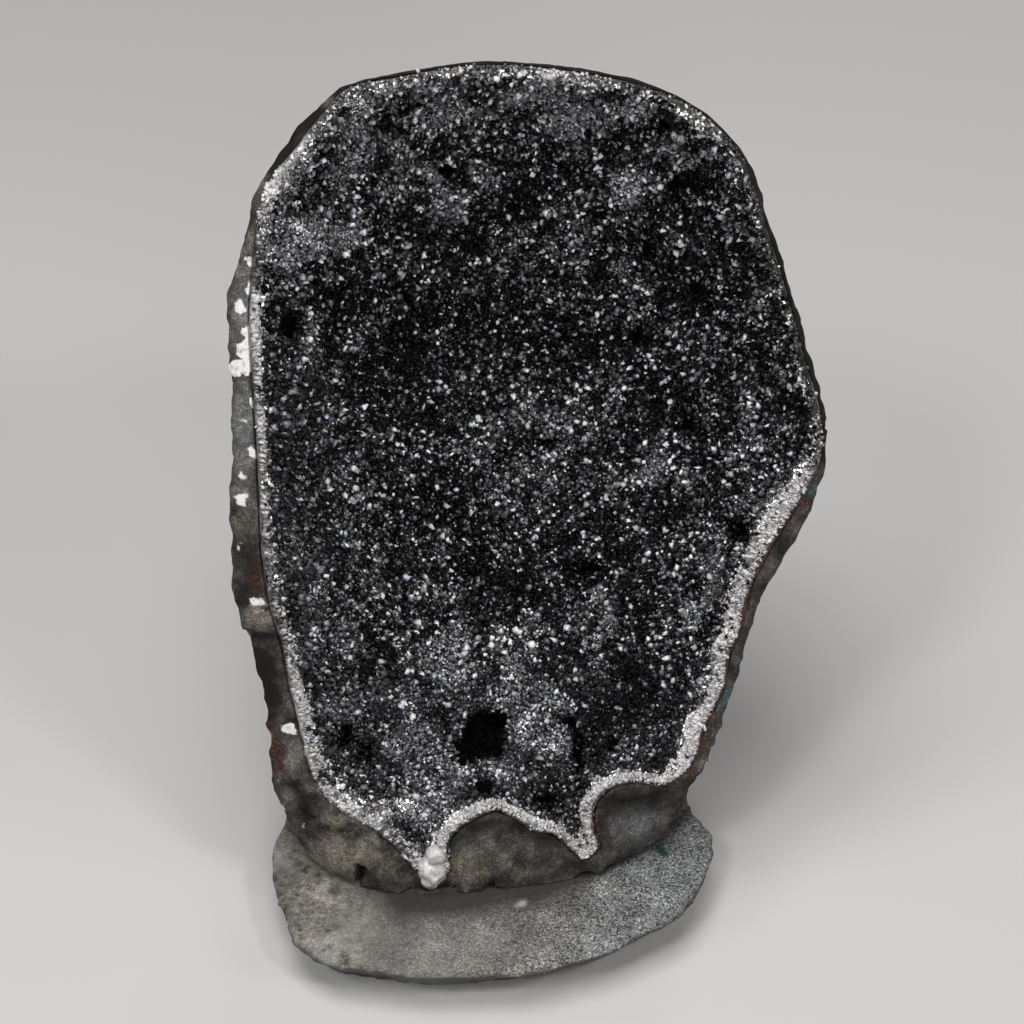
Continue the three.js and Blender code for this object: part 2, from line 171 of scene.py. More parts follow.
def lumps(points, size, seed):
    """Smooth swells between -1 and 1, each about this size in metres."""
    at = points / size
    low = np.floor(at).astype(np.int64)
    part = at - low
    ease = part * part * (3 - 2 * part)
    total = np.zeros(len(points))
    for corner in range(8):
        step = np.array([corner & 1, corner >> 1 & 1, corner >> 2])
        code = (low + step) @ np.array([374761393, 668265263, 2147483647]) + seed * 1013904223
        code &= 0xFFFFFFFF
        code = ((code ^ (code >> 13)) * 1274126177) & 0xFFFFFFFF
        value = ((code ^ (code >> 16)) & 0xFFFF) / 0xFFFF
        total += value * np.prod(np.where(step == 1, ease, 1 - ease), axis=1)
    return total * 2 - 1


def smooth(start, end, value):
    share = np.clip((value - start) / (end - start), 0, 1)
    return share * share * (3 - 2 * share)


def marks(seen, table, most=None):
    """The sum of soft oval spots: each row is across, down, half width, half height, strength."""
    total = np.zeros(len(seen))
    for across, down, wide, high, strength in table:
        spread = ((seen[:, 0] - across) / wide) ** 2 + ((seen[:, 1] - down) / high) ** 2
        near = spread < 9
        total[near] += strength * np.exp(-spread[near] ** 1.5)
    return total if most is None else np.clip(total, 0, most)


def paint(piece, name, values):
    layer = piece.data.attributes.new(name, "FLOAT", "POINT")
    layer.data.foreach_set("value", np.asarray(values, dtype=np.float32))


def node_of(tree, kind, **settings):
    node = tree.nodes.new(kind)
    for key, value in settings.items():
        if key in node.inputs:
            node.inputs[key].default_value = value
        else:
            setattr(node, key, value)
    return node


def ramp_of(tree, source, stops):
    """Colours along a mask: each stop is a place and a colour."""
    ramp = tree.nodes.new("ShaderNodeValToRGB")
    while len(ramp.color_ramp.elements) < len(stops):
        ramp.color_ramp.elements.new(1)
    for element, (place, colour) in zip(ramp.color_ramp.elements, stops):
        element.position = place
        element.color = (*colour, 1)
    tree.links.new(source, ramp.inputs["Fac"])
    return ramp.outputs["Color"]


def mixed(tree, share, first, second, blend="MIX"):
    """Two colours, sockets or plain, mixed by a share."""
    node = tree.nodes.new("ShaderNodeMix")
    node.data_type = "RGBA"
    node.blend_type = blend
    for place, value in ((0, share), (6, first), (7, second)):
        if isinstance(value, bpy.types.NodeSocket):
            tree.links.new(value, node.inputs[place])
        elif place:
            node.inputs[place].default_value = (*value, 1)
        else:
            node.inputs[place].default_value = value
    return node.outputs[2]


def attribute(tree, name):
    node = tree.nodes.new("ShaderNodeAttribute")
    node.attribute_name = name
    return node.outputs["Fac"]


def broken_edge(tree, name, noise, start, end=0.98):
    """An attribute's mask with a crisp, uneven outline in place of a soft one."""
    both = node_of(tree, "ShaderNodeMath", operation="ADD")
    tree.links.new(attribute(tree, name), both.inputs[0])
    tree.links.new(noise, both.inputs[1])
    return ramp_of(tree, both.outputs[0], [(start, (0, 0, 0)), (end, (1, 1, 1))])


def stone_grain_group():
    """Grains of a fine volcanic rock: a random value for each grain, soft clouds and a height."""
    group = bpy.data.node_groups.new("stone_grain", "ShaderNodeTree")
    for way, names in (("INPUT", ("Grains per metre", "Clouds per metre")),
                       ("OUTPUT", ("Grain", "Cloud", "Height"))):
        for name in names:
            group.interface.new_socket(name, in_out=way, socket_type="NodeSocketFloat")
    start = group.nodes.new("NodeGroupInput")
    end = group.nodes.new("NodeGroupOutput")
    place = group.nodes.new("ShaderNodeTexCoord")
    grains = node_of(group, "ShaderNodeTexVoronoi", feature="F1")
    fine = node_of(group, "ShaderNodeTexNoise", Detail=3, Roughness=0.7)
    clouds = node_of(group, "ShaderNodeTexNoise", Detail=5, Roughness=0.6)
    for texture, scale in ((grains, "Grains per metre"), (fine, "Grains per metre"),
                           (clouds, "Clouds per metre")):
        group.links.new(place.outputs["Object"], texture.inputs["Vector"])
        group.links.new(start.outputs[scale], texture.inputs["Scale"])
    split = group.nodes.new("ShaderNodeSeparateColor")
    group.links.new(grains.outputs["Color"], split.inputs["Color"])
    both = node_of(group, "ShaderNodeMath", operation="ADD")
    group.links.new(split.outputs["Red"], both.inputs[0])
    group.links.new(fine.outputs["Fac"], both.inputs[1])
    half = node_of(group, "ShaderNodeMath", operation="MULTIPLY")
    half.inputs[1].default_value = 0.5
    group.links.new(both.outputs[0], half.inputs[0])
    for name, value in (("Grain", split.outputs["Red"]), ("Cloud", clouds.outputs["Fac"]),
                        ("Height", half.outputs[0])):
        group.links.new(value, end.inputs[name])
    return group


def placed_grain(tree, grains, clouds):
    node = tree.nodes.new("ShaderNodeGroup")
    node.node_tree = stone_grain
    node.inputs["Grains per metre"].default_value = grains
    node.inputs["Clouds per metre"].default_value = clouds
    return node


def bumped(tree, shader, height, distance, strength=1.0):
    bump = node_of(tree, "ShaderNodeBump", Strength=strength, Distance=distance)
    tree.links.new(height, bump.inputs["Height"])
    tree.links.new(bump.outputs["Normal"], shader.inputs["Normal"])


def slab_finish():
    material, tree, shader = new_material("salted_grey_stone", 0.85, 0.3)
    grain = placed_grain(tree, 3200, 110)
    stone = ramp_of(tree, grain.outputs["Cloud"], [
        (0.34, (0.165, 0.16, 0.151)), (0.46, (0.228, 0.221, 0.209)), (0.54, (0.265, 0.254, 0.235)),
        (0.66, (0.36, 0.351, 0.338)),
    ])
    salt = ramp_of(tree, grain.outputs["Grain"], [
        (0.0, (0.08, 0.08, 0.08)), (0.2, (0.35, 0.35, 0.34)), (0.42, (0.85, 0.85, 0.84)),
        (0.75, (1.15, 1.15, 1.14)), (0.9, (1.7, 1.7, 1.7)), (1.0, (2.5, 2.5, 2.52)),
    ])
    blotches = ramp_of(tree, placed_grain(tree, 900, 620).outputs["Cloud"], [
        (0.34, (0.3, 0.28, 0.25)), (0.43, (0.8, 0.77, 0.7)), (0.52, (0.95, 0.92, 0.86)),
        (0.66, (1.3, 1.28, 1.22)),
    ])
    for tint in (mixed(tree, attribute(tree, "calm"), salt, (0.95, 0.95, 0.95)),
                 mixed(tree, attribute(tree, "cool"), (1, 1, 1), (0.8, 0.84, 0.9)),
                 mixed(tree, attribute(tree, "aged"), (1, 1, 1), blotches)):
        stone = mixed(tree, 1.0, stone, tint, "MULTIPLY")
    # Painted shade: the side mask darkens the steep sides, the foot mask the top beside and under the
    # geode's foot, and the pit mask the pits.
    for mask, colour in (("side", (0.045, 0.042, 0.038)), ("foot", (0.03, 0.027, 0.024)),
                         ("pit", (0.03, 0.028, 0.026)), ("green", (0.006, 0.04, 0.03)),
                         ("pale", (0.5, 0.5, 0.48))):
        stone = mixed(tree, attribute(tree, mask), stone, colour)
    tree.links.new(stone, shader.inputs["Base Color"])
    bumped(tree, shader, grain.outputs["Height"], 0.0004, 0.7)
    return material


SLAB_TOP = 0.012
SLAB_FACET = 0.0008  # how wide the faces of its mesh are
SLAB_CHIP = 0.0008  # how deep the chips of the side go
PIT_DEPTH = 0.0007
PITS = [(334, 890, 6, 5, 0.9), (492, 925, 4, 3, 0.9), (281, 868, 8, 4, 0.7), (292, 880, 6, 4, 0.6),
        (274, 876, 6, 5, 0.6), (299, 862, 7, 3, 0.7), (315, 900, 4, 3, 0.5), (690, 905, 5, 3, 0.4),
        (320, 878, 5, 3, 0.5), (345, 915, 4, 2, 0.4), (700, 868, 3, 2, 0.4)]
# Where the geode's foot meets the slab, across and down in the picture.
FOOT_LINE = [(290, 830), (300, 840), (330, 862), (360, 880), (400, 890), (431, 892), (460, 888),
             (500, 882), (540, 880), (583, 872), (610, 860), (640, 845), (665, 828), (688, 806)]
GREEN_SPOTS = [(659, 849, 4, 4, 1.6), (664, 853, 4, 4, 1.6)]
# The stone's own pale patches, except the faint one by the geode's foot at the top-left corner, which is
# painted light.
PALE_SPOTS = [(523, 903, 4, 3, 0.8), (518, 905, 4, 2, 0.5), (586, 942, 5, 4, 0.3),
              (284, 856, 10, 20, 0.12), (320, 945, 26, 14, 0.12), (360, 935, 20, 14, 0.1)]

slab = copy_of("stone_base", "slab_stone")
finer = slab.modifiers.new("finer", "REMESH")
finer.mode = "VOXEL"
finer.voxel_size = SLAB_FACET
bpy.ops.object.modifier_apply(modifier=finer.name)
points, normals = points_of(slab), normals_of(slab)
seen = as_seen(points)
side = 1 - np.abs(normals[:, 2]) ** 3
left_corner = smooth(330, 275, seen[:, 0]) * smooth(845, 870, seen[:, 1])
height = SLAB_CHIP * side * (0.6 * lumps(points, 0.008, 1) + 0.6 * lumps(points, 0.003, 2) - 0.3)
height += 0.00012 * lumps(points, 0.0022, 3) + 0.00008 * lumps(points, 0.0011, 4)
height -= left_corner * (0.0011 * np.abs(lumps(points * [1, 1.4, 1], 0.0065, 5)) + 0.0002)
height -= left_corner * 0.0004 * np.abs(lumps(points * [2, 1, 1], 0.0024, 6))
height -= PIT_DEPTH * marks(seen, PITS, 1) * (normals[:, 2] > -0.2)
points += normals * height[:, None]
points[:, 2] = np.clip(points[:, 2], 0, SLAB_TOP + 0.00015)
move_to(slab, points)
bpy.ops.object.shade_smooth()
front = (normals @ VIEW_BACK) > 0

# The geode's foot keeps the light off the slab, further out at the left than at the right.
foot_points = np.concatenate([np.linspace(a, b, 12) for a, b in zip(FOOT_LINE[:-1], FOOT_LINE[1:])])
foot_far = np.sqrt(((seen[:, None] - foot_points) ** 2).sum(2).min(1))
under = seen[:, 1] < np.interp(seen[:, 0], *np.array(FOOT_LINE).T)
reach = 44 - 30 * smooth(560, 620, seen[:, 0])
shade = 0.9 * smooth(reach, 2, foot_far)
shade += 0.35 * smooth(75, 20, foot_far) * smooth(600, 480, seen[:, 0])
shade *= 0.1 + 0.9 * smooth(320, 420, seen[:, 0])
paint(slab, "foot", np.where(under, 0.5, np.clip(shade, 0, 0.93)) * (normals[:, 2] > 0.5))
# Painted shade on the steep sides, the darker the steeper.
paint(slab, "side", 0.75 * smooth(0.75, 0.2, normals[:, 2]))
paint(slab, "cool", smooth(480, 660, seen[:, 0]))
paint(slab, "calm", 0.6 * smooth(620, 380, seen[:, 0]) * (1 + 0.3 * lumps(points, 0.009, 7)))
paint(slab, "aged", np.clip(smooth(430, 310, seen[:, 0]) + 0.4 * smooth(955, 975, seen[:, 1]), 0, 1))
# Painted shade in the dented pits.
paint(slab, "pit", np.clip(marks(seen, PITS) * 0.9, 0, 1) * front)
paint(slab, "green", marks(seen, GREEN_SPOTS, 1) * front)
paint(slab, "pale", marks(seen, PALE_SPOTS, 0.8) * front)
stone_grain = stone_grain_group()
slab.data.materials.append(slab_finish())
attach(slab, "root")
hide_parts("stone_base")

# The rind. Brown-grey basalt round the quartz, broken all along the rim: dark and lumpy outside,
# two arched lobes and a lower wall at the front, a wide pale break down the left side.
LEAN = math.radians(20)  # how far the opening's face leans back
FACE_OUT = np.array([0, -math.cos(LEAN), math.sin(LEAN)])
HEART = OPENING + 0.045 * FACE_OUT  # the whole inside of the shell faces this point

# The meeting line of quartz and basalt, clockwise from the top, in mm as seen: across, up, then
# how far behind the opening's face, the widths of the quartz band and of the basalt, how pale
# the band is and how rusty the joint.
RIM = [
    (-2.4, 89, 2, 1.2, 0.6, 0.3, 0.1), (10.8, 87.8, 3, 1.6, 0.6, 0.55, 0.1),
    (26, 84.8, 4, 1.2, 0.6, 0.2, 0.1), (37.2, 79.6, 6, 1.6, 0.6, 0.45, 0.1),
    (45, 71.6, 7, 1.0, 0.6, 0.15, 0.1), (50.2, 57.6, 8, 1.0, 0.6, 0.15, 0.1),
    (54.4, 44.4, 9, 1.0, 0.6, 0.15, 0.1), (57.8, 31.4, 9, 1.2, 0.6, 0.15, 0.1),
    (61.2, 20, 9, 1.4, 0.6, 0.3, 0.3), (61.4, 12, 9, 1.6, 0.8, 0.35, 0.6),
    (59.8, 6.4, 9, 3, 1.8, 0.8, 0.9), (55.4, -0.6, 9, 4, 2.8, 0.9, 1),
    (50.6, -8.4, 8.5, 3.4, 2.8, 0.9, 1), (47, -16, 8, 2.6, 2.4, 0.85, 1),
    (45.2, -24, 8, 2.4, 1.2, 0.8, 1), (43, -28.8, 8, 2.4, 1.8, 0.8, 1),
    (42.4, -34, 8, 2.8, 1.4, 0.85, 1), (40.4, -38.8, 8, 2.8, 2, 0.9, 1),
    (38, -43.2, 7.5, 2.8, 2.6, 0.95, 1), (37, -47.6, 7, 3, 2.2, 1, 1),
    (34.2, -52.2, 6, 2.6, 1.6, 1, 1), (30, -54.4, 4.5, 1.6, 1.6, 0.85, 0.5),
    (24, -53.8, 3, 1.6, 1.6, 0.85, 0.6), (18.6, -55.6, 1.5, 1.8, 1.6, 1, 0.8),
    (16, -59.2, 1, 1.8, 1.6, 0.95, 0.7), (16, -63.2, 2, 1.6, 1.6, 0.9, 0.9),
    (17, -67, 3, 1.8, 1.6, 0.9, 1), (14.2, -69.2, 3, 2.4, 1.6, 0.95, 1),
    (11.4, -66.8, 2, 2, 1.6, 0.9, 1), (8, -64, 0.5, 1.8, 1.6, 0.85, 0.8),
    (4.2, -63.4, 0, 1.8, 1.6, 0.85, 0.8), (0.6, -61, -1, 1.8, 1.6, 0.85, 0.8),
    (-3.2, -59.4, -2, 1.8, 1.6, 0.9, 0.7), (-8.2, -61.4, -2.5, 1.8, 1.6, 0.95, 0.9),
    (-12, -64.2, -2.5, 2, 1.6, 1, 0.9), (-13.2, -67.6, -1.5, 2, 1.6, 1, 0.9),
    (-12.6, -71.6, 0, 2.2, 1.6, 1, 0.8), (-16.2, -75.2, 0.5, 2.6, 1.6, 1, 0.4),
    (-19.4, -71.2, -0.5, 2.4, 1.6, 0.8, 0.2), (-22.8, -67.2, -1.5, 2.0, 1.6, 0.45, 0.1),
    (-28, -63, -2, 2.4, 2, 0.85, 0.1), (-33.4, -60, -2, 2.4, 4, 1, 0.1),
    (-38, -56, -2, 2.4, 6, 1, 0.3), (-40.6, -50, -3, 2.2, 6.6, 0.9, 0.2),
    (-42.4, -42, -4, 2, 5.8, 0.85, 0.1), (-44.4, -34, -5, 1.8, 5.6, 0.75, 0.1),
    (-45.6, -26.6, -6, 1.8, 6, 0.5, 0.2), (-48, -18.8, -7, 1.6, 6.4, 0.3, 0.2),
    (-49.6, -8.8, -8, 1.6, 6, 0.5, 0.2), (-50.2, 2.4, -8, 1.4, 5.4, 0.55, 0.1),
    (-50.8, 14.4, -8, 1.4, 4.4, 0.6, 0.1), (-51.6, 26.4, -7, 1.4, 3.8, 0.5, 0.1),
    (-52.2, 38.4, -6, 2.2, 4.2, 0.9, 0.1), (-51.6, 48.8, -5, 1.8, 2.8, 0.25, 0.1),
    (-50.2, 59.6, -4, 1.4, 1.2, 0.45, 0.5), (-48.8, 65.2, -3, 2.2, 1.4, 0.95, 0.5),
    (-43.2, 72.4, -2, 1.4, 2.6, 0.7, 0.1), (-37.2, 80, -1, 1.4, 2.2, 0.25, 0.1),
    (-32.8, 84.2, 0, 1.4, 1, 0.35, 0.3), (-21.4, 86.8, 1, 1.2, 0.8, 0.3, 0.1),
    (-12, 88.4, 2, 1.2, 0.6, 0.35, 0.1),
]


def rounded_line(rows, steps):
    """A closed line through rows of numbers, with bends that depend on how far apart they are."""
    rows = np.array(rows, float)
    gaps = np.linalg.norm(np.roll(rows[:, :3], -1, 0) - rows[:, :3], axis=1) ** 0.5
    made = []
    for i in range(len(rows)):
        before, at, after, beyond = (rows[(i + k) % len(rows)] for k in (-1, 0, 1, 2))
        g0, g1, g2 = gaps[i - 1], gaps[i], gaps[(i + 1) % len(rows)]
        leave = ((at - before) / g0 - (after - before) / (g0 + g1) + (after - at) / g1) * g1
        arrive = ((after - at) / g1 - (beyond - at) / (g1 + g2) + (beyond - after) / g2) * g1
        leave[3:] = arrive[3:] = 0
        for t in np.arange(steps) / steps:
            cubic = 2 * t**3 - 3 * t**2 + 1, t**3 - 2 * t**2 + t, 3 * t**2 - 2 * t**3, t**3 - t**2
            made.append(cubic[0] * at + cubic[1] * leave + cubic[2] * after + cubic[3] * arrive)
    return np.array(made)


def on_face(seen_mm, behind):
    """The points behind the opening's face that are seen at these distances from its middle."""
    ray = OPENING + seen_mm[:, :1] * MM * [1, 0, 0] + seen_mm[:, 1:2] * MM * VIEW_UP - EYE
    depth = (OPENING - EYE) @ FACE_OUT - behind * MM
    return EYE + ray * (depth / (ray @ FACE_OUT))[:, None]


rim_line = rounded_line(RIM, 16)
behind_mm, band_mm, basalt_mm, band_pale, rusty = rim_line[:, 2:].T
rim_points = on_face(rim_line[:, :2], behind_mm)
rim_seen = as_seen(rim_points)
AT_ONCE = 4000  # so many places are held against the whole line in one go


def nearest_rim(seen):
    """How far each seen place is from the meeting line, in pixels, and its nearest point's number."""
    far, which = np.empty(len(seen)), np.empty(len(seen), int)
    for start in range(0, len(seen), AT_ONCE):
        part = slice(start, start + AT_ONCE)
        gap = ((seen[part, None] - rim_seen) ** 2).sum(2)
        which[part] = gap.argmin(1)
        far[part] = np.sqrt(gap.min(1))
    return far, which


def from_joint(points, seen):
    """How far points are from the meeting line, in metres, and its nearest point's number."""
    which = nearest_rim(seen)[1]
    return np.linalg.norm(points - rim_points[which], axis=1), which


def inside_rim(seen):
    """Whether each seen place lies within the meeting line."""
    inside = np.zeros(len(seen), bool)
    here, there = rim_seen, np.roll(rim_seen, -1, 0)
    rise = np.where(there[:, 1] == here[:, 1], 1e-9, there[:, 1] - here[:, 1])
    slope = (there[:, 0] - here[:, 0]) / rise
    for start in range(0, len(seen), AT_ONCE):
        part = slice(start, start + AT_ONCE)
        across, down = seen[part, :1], seen[part, 1:]
        level = (here[:, 1] > down) != (there[:, 1] > down)
        left = across < here[:, 0] + slope * (down - here[:, 1])
        inside[part] = (level & left).sum(1) % 2 == 1
    return inside


def unit(rows):
    return rows / np.linalg.norm(rows, axis=1)[:, None]


def select_faces(piece, chosen):
    """Goes into edit mode with only these faces selected."""
    mesh = piece.data
    mesh.vertices.foreach_set("select", np.zeros(len(mesh.vertices), bool))
    mesh.edges.foreach_set("select", np.zeros(len(mesh.edges), bool))
    mesh.polygons.foreach_set("select", chosen)
    select_only(piece)
    bpy.context.tool_settings.mesh_select_mode = (False, False, True)
    bpy.ops.object.mode_set(mode="EDIT")


def face_places(piece):
    """The middle and the normal of each face."""
    return rows_of(piece.data.polygons, "center"), rows_of(piece.data.polygons, "normal")


def rind_finish():
    material, tree, shader = new_material("broken_basalt", 0.85, 0.18)
    grain = placed_grain(tree, 1900, 210)
    specks = placed_grain(tree, 3300, 900)
    flecks = specks.outputs["Cloud"]
    stone = ramp_of(tree, grain.outputs["Cloud"], [
        (0.34, (0.018, 0.017, 0.016)), (0.45, (0.042, 0.039, 0.035)), (0.55, (0.075, 0.068, 0.06)),
        (0.66, (0.15, 0.138, 0.122)),
    ])
    salt = ramp_of(tree, specks.outputs["Grain"], [
        (0.0, (0.55, 0.55, 0.55)), (0.5, (0.97, 0.97, 0.97)), (0.85, (1.25, 1.24, 1.22)),
        (1.0, (1.9, 1.88, 1.85)),
    ])
    clouds = grain.outputs["Cloud"]
    warm = ramp_of(tree, clouds, [(0.38, (0.088, 0.079, 0.065)), (0.6, (0.225, 0.202, 0.168))])
    rust = ramp_of(tree, grain.outputs["Grain"], [(0.2, (0.036, 0.022, 0.017)), (0.9, (0.1, 0.044, 0.026))])
    facet = ramp_of(tree, clouds, [(0.36, (0.1, 0.102, 0.105)), (0.62, (0.19, 0.192, 0.195))])
    pale = ramp_of(tree, flecks, [(0.32, (0.48, 0.45, 0.43)), (0.5, (0.9, 0.87, 0.85))])
    stone = mixed(tree, broken_edge(tree, "warm", flecks, 0.55), stone, warm)
    stone = mixed(tree, broken_edge(tree, "rust", flecks, 0.6), stone, rust)
    stone = mixed(tree, broken_edge(tree, "blue", flecks, 0.6), stone, (0.066, 0.095, 0.105))
    stone = mixed(tree, attribute(tree, "cool"), stone, facet)
    stone = mixed(tree, 1.0, stone, salt, "MULTIPLY")
    stone = mixed(tree, attribute(tree, "dark"), stone, (0.009, 0.008, 0.007))
    stone = mixed(tree, broken_edge(tree, "pale", flecks, 0.75, 1), stone, pale)
    tree.links.new(stone, shader.inputs["Base Color"])
    bumped(tree, shader, grain.outputs["Height"], 0.0006, 0.9)
    return material


def soft_noise(tree, scale, detail, roughness=0.5):
    """A noise that stays where it is on the piece."""
    place = tree.nodes.new("ShaderNodeTexCoord")
    noise = node_of(tree, "ShaderNodeTexNoise", Scale=scale, Detail=detail, Roughness=roughness)
    tree.links.new(place.outputs["Object"], noise.inputs["Vector"])
    return noise.outputs["Fac"]


def socket_finish():
    """Painted shade: near-black rock behind the crust, seen only down the holes of the lining."""
    material, tree, shader = new_material("painted_hollow_shade", 1, 0)
    patches = soft_noise(tree, 900, 3)
    tone = ramp_of(tree, patches, [(0.4, (0.001, 0.001, 0.001)), (0.7, (0.005, 0.005, 0.006))])
    tree.links.new(tone, shader.inputs["Base Color"])
    return material


def wandered(seen, points):
    """Seen places pushed about a little, so that marks on the rock get uneven outlines."""
    coarse = np.column_stack((lumps(points, 0.004, 51), lumps(points, 0.004, 52)))
    fine = np.column_stack((lumps(points, 0.0016, 53), lumps(points, 0.0016, 54)))
    return seen + 5 * coarse + 3.5 * fine


WARM_MARKS = [
    (352, 862, 44, 20, 0.5), (330, 845, 16, 14, 0.4), (292, 760, 14, 24, 0.35),
    (334, 820, 9, 6, 0.9), (325, 832, 7, 5, 0.8), (349, 812, 8, 8, 0.5), (300, 690, 10, 30, 0.25),
    (480, 862, 34, 12, 0.7), (450, 868, 24, 12, 0.5), (370, 844, 8, 11, 0.9),
    (258, 615, 12, 12, 0.7), (366, 826, 8, 6, 0.4), (320, 848, 12, 8, 0.4),
    (246, 260, 8, 30, 0.3), (243, 420, 10, 40, 0.35), (244, 520, 10, 60, 0.35), (262, 176, 8, 14, 0.5),
]
PALE_MARKS = [  # a smooth milky face, and below it round pale nodules in the broken rock
    (250, 352, 8, 10, 1.8), (254, 338, 5, 12, 1.6), (242, 365, 9, 6, 1.8), (250, 364, 8, 5, 1.8),
    (234, 368, 6, 4, 1.6), (256, 350, 5, 12, 1.5), (241, 307, 6, 10, 1.1), (248, 284, 6, 9, 0.95),
    (253, 262, 5, 7, 0.8), (257, 240, 5, 7, 0.9), (262, 222, 6, 8, 0.9), (252, 404, 4, 5, 1.1),
    (246, 392, 8, 4, 0.5), (243, 424, 5, 6, 0.6), (252, 451, 8, 8, 0.75), (241, 474, 6, 6, 0.75),
    (243, 499, 6, 6, 1.3), (252, 513, 5, 5, 1.1), (239, 546, 5, 6, 0.6), (256, 599, 5, 5, 1.3),
    (258, 611, 5, 5, 0.6), (250, 588, 4, 4, 0.5), (288, 726, 6, 7, 1.0), (287, 806, 3, 7, 0.6),
    (303, 828, 4, 8, 0.55), (382, 830, 3, 5, 0.3), (388, 838, 3, 4, 0.3),
]
RUST_MARKS = [
    (256, 578, 7, 14, 0.7), (262, 610, 4, 5, 0.8), (254, 646, 8, 3, 0.8), (272, 724, 5, 4, 0.6),
    (275, 745, 4, 12, 0.95), (277, 762, 3, 8, 0.8), (602, 818, 7, 22, 0.2),
    (684, 770, 4, 4, 0.9), (697, 752, 4, 4, 0.8), (702, 738, 3, 6, 0.6), (716, 712, 3, 6, 0.5),
    (724, 668, 3, 8, 0.5), (810, 505, 5, 4, 0.6), (790, 520, 8, 5, 0.5), (765, 556, 6, 8, 0.5),
    (749, 600, 4, 10, 0.5), (690, 776, 3, 8, 0.6), (320, 830, 5, 5, 0.4), (258, 640, 10, 3, 0.5),
]
BLUE_MARKS = [(813, 492, 6, 6, 0.7), (728, 690, 4, 9, 0.9), (735, 655, 4, 9, 0.4), (722, 706, 4, 6, 0.4)]
COOL_MARKS = [  # a lighter grey facet of the right lobe and the cooler parts of the arch
    (632, 828, 19, 15, 1.0), (655, 818, 14, 12, 0.8), (640, 840, 16, 8, 0.6), (520, 850, 30, 12, 0.35),
    (470, 846, 22, 12, 0.4),
    (244, 410, 13, 40, 0.75), (243, 465, 12, 40, 0.6), (246, 300, 12, 44, 0.85), (300, 745, 16, 20, 0.3),
    (264, 208, 9, 26, 0.7),
]
# Painted shade in the cracks and pockets of the broken rock, along its foot and where it turns away low at
# the left; at the top left the thin rock is dark.
DARK_MARKS = [
    (603, 822, 8, 24, 0.5), (640, 802, 22, 5, 0.7),
    (262, 634, 22, 6, 1.2), (254, 652, 12, 8, 0.9), (266, 665, 12, 20, 1), (272, 695, 13, 28, 1),
    (248, 555, 14, 36, 0.75), (244, 600, 8, 20, 0.5),
    (296, 787, 7, 9, 1.1), (307, 814, 6, 16, 1.1), (302, 800, 5, 8, 0.9), (634, 803, 20, 5, 1.1),
    (662, 798, 12, 9, 0.3),
    (612, 862, 16, 5, 0.4), (676, 798, 9, 10, 0.4), (545, 838, 30, 12, 0.5), (500, 822, 40, 10, 0.4),
    (640, 790, 26, 6, 0.4), (397, 833, 7, 5, 0.7), (372, 872, 22, 8, 0.6), (583, 868, 22, 7, 0.7),
    (450, 886, 60, 5, 0.5), (540, 860, 14, 8, 0.5), (596, 846, 4, 10, 0.6), (322, 838, 14, 5, 0.5),
    (278, 152, 20, 34, 1.3), (304, 116, 24, 18, 1.4), (345, 86, 28, 12, 1.1), (262, 196, 8, 16, 0.5),
    (256, 700, 10, 40, 0.5), (610, 806, 26, 6, 0.5), (480, 824, 30, 6, 0.4), (530, 826, 20, 6, 0.5),
]
RIND_SWELLS = [  # the lumps of the broken wall in mm, with places as the marks have them
    (332, 824, 12, 9, 1.0), (352, 846, 12, 8, 0.5), (372, 844, 9, 12, 0.8), (342, 862, 12, 8, 0.3),
    (300, 700, 8, 16, 0.5), (257, 604, 10, 12, 0.8), (248, 350, 12, 20, 0.5), (486, 862, 30, 12, 0.5),
    (632, 828, 16, 14, 0.6), (602, 822, 6, 22, 0.7), (366, 812, 6, 10, -0.6), (397, 836, 9, 7, -1.0),
    (378, 868, 16, 7, -0.3), (318, 842, 6, 10, -0.4), (296, 787, 7, 9, -1.6), (307, 814, 6, 16, -1.6),
    (262, 634, 20, 6, -1.4), (634, 803, 18, 4, -1.0), (545, 845, 26, 12, -0.6), (616, 806, 5, 14, -0.5),
    (500, 826, 34, 7, -0.5), (660, 812, 12, 16, -0.6), (276, 668, 8, 10, -0.6), (412, 868, 8, 8, -0.5),
]
BREAK_WIDE = 0.008  # the broken face is nowhere further from the meeting line
LARGE_FACE = 1.6e-6  # faces over this area are cut once more
DOWNWARD = -0.98


def outer_faces():
    """The middles of the rind's faces, and whether each looks outwards and isn't the flat foot."""
    middles, facing = face_places(rind)
    return middles, ((facing * (middles - HEART)).sum(1) > 0) & (facing[:, 2] > DOWNWARD)


rind = copy_of("geode_shell", "rind_basalt")
middles, facing = face_places(rind)
outside = (facing * unit(middles - HEART)).sum(1) > 0.02
edge_far, edge_next = nearest_rim(as_seen(middles))
joint_far = np.linalg.norm(middles - rim_points[edge_next], axis=1)
broken = (edge_far < (basalt_mm[edge_next] + 1.2) / PIXEL_MM) & (joint_far < BREAK_WIDE)
flat_foot = (facing[:, 2] < DOWNWARD) & (middles[:, 2] < SLAB_TOP + 0.0006)
select_faces(rind, (outside | broken) & ~flat_foot)
bpy.ops.mesh.subdivide(number_cuts=4)
bpy.ops.mesh.vertices_smooth(factor=0.5, repeat=2)
bpy.ops.object.mode_set(mode="OBJECT")
areas = np.empty(len(rind.data.polygons))
rind.data.polygons.foreach_get("area", areas)
select_faces(rind, outer_faces()[1] & (areas > LARGE_FACE))
bpy.ops.mesh.subdivide(number_cuts=1)
bpy.ops.object.mode_set(mode="OBJECT")

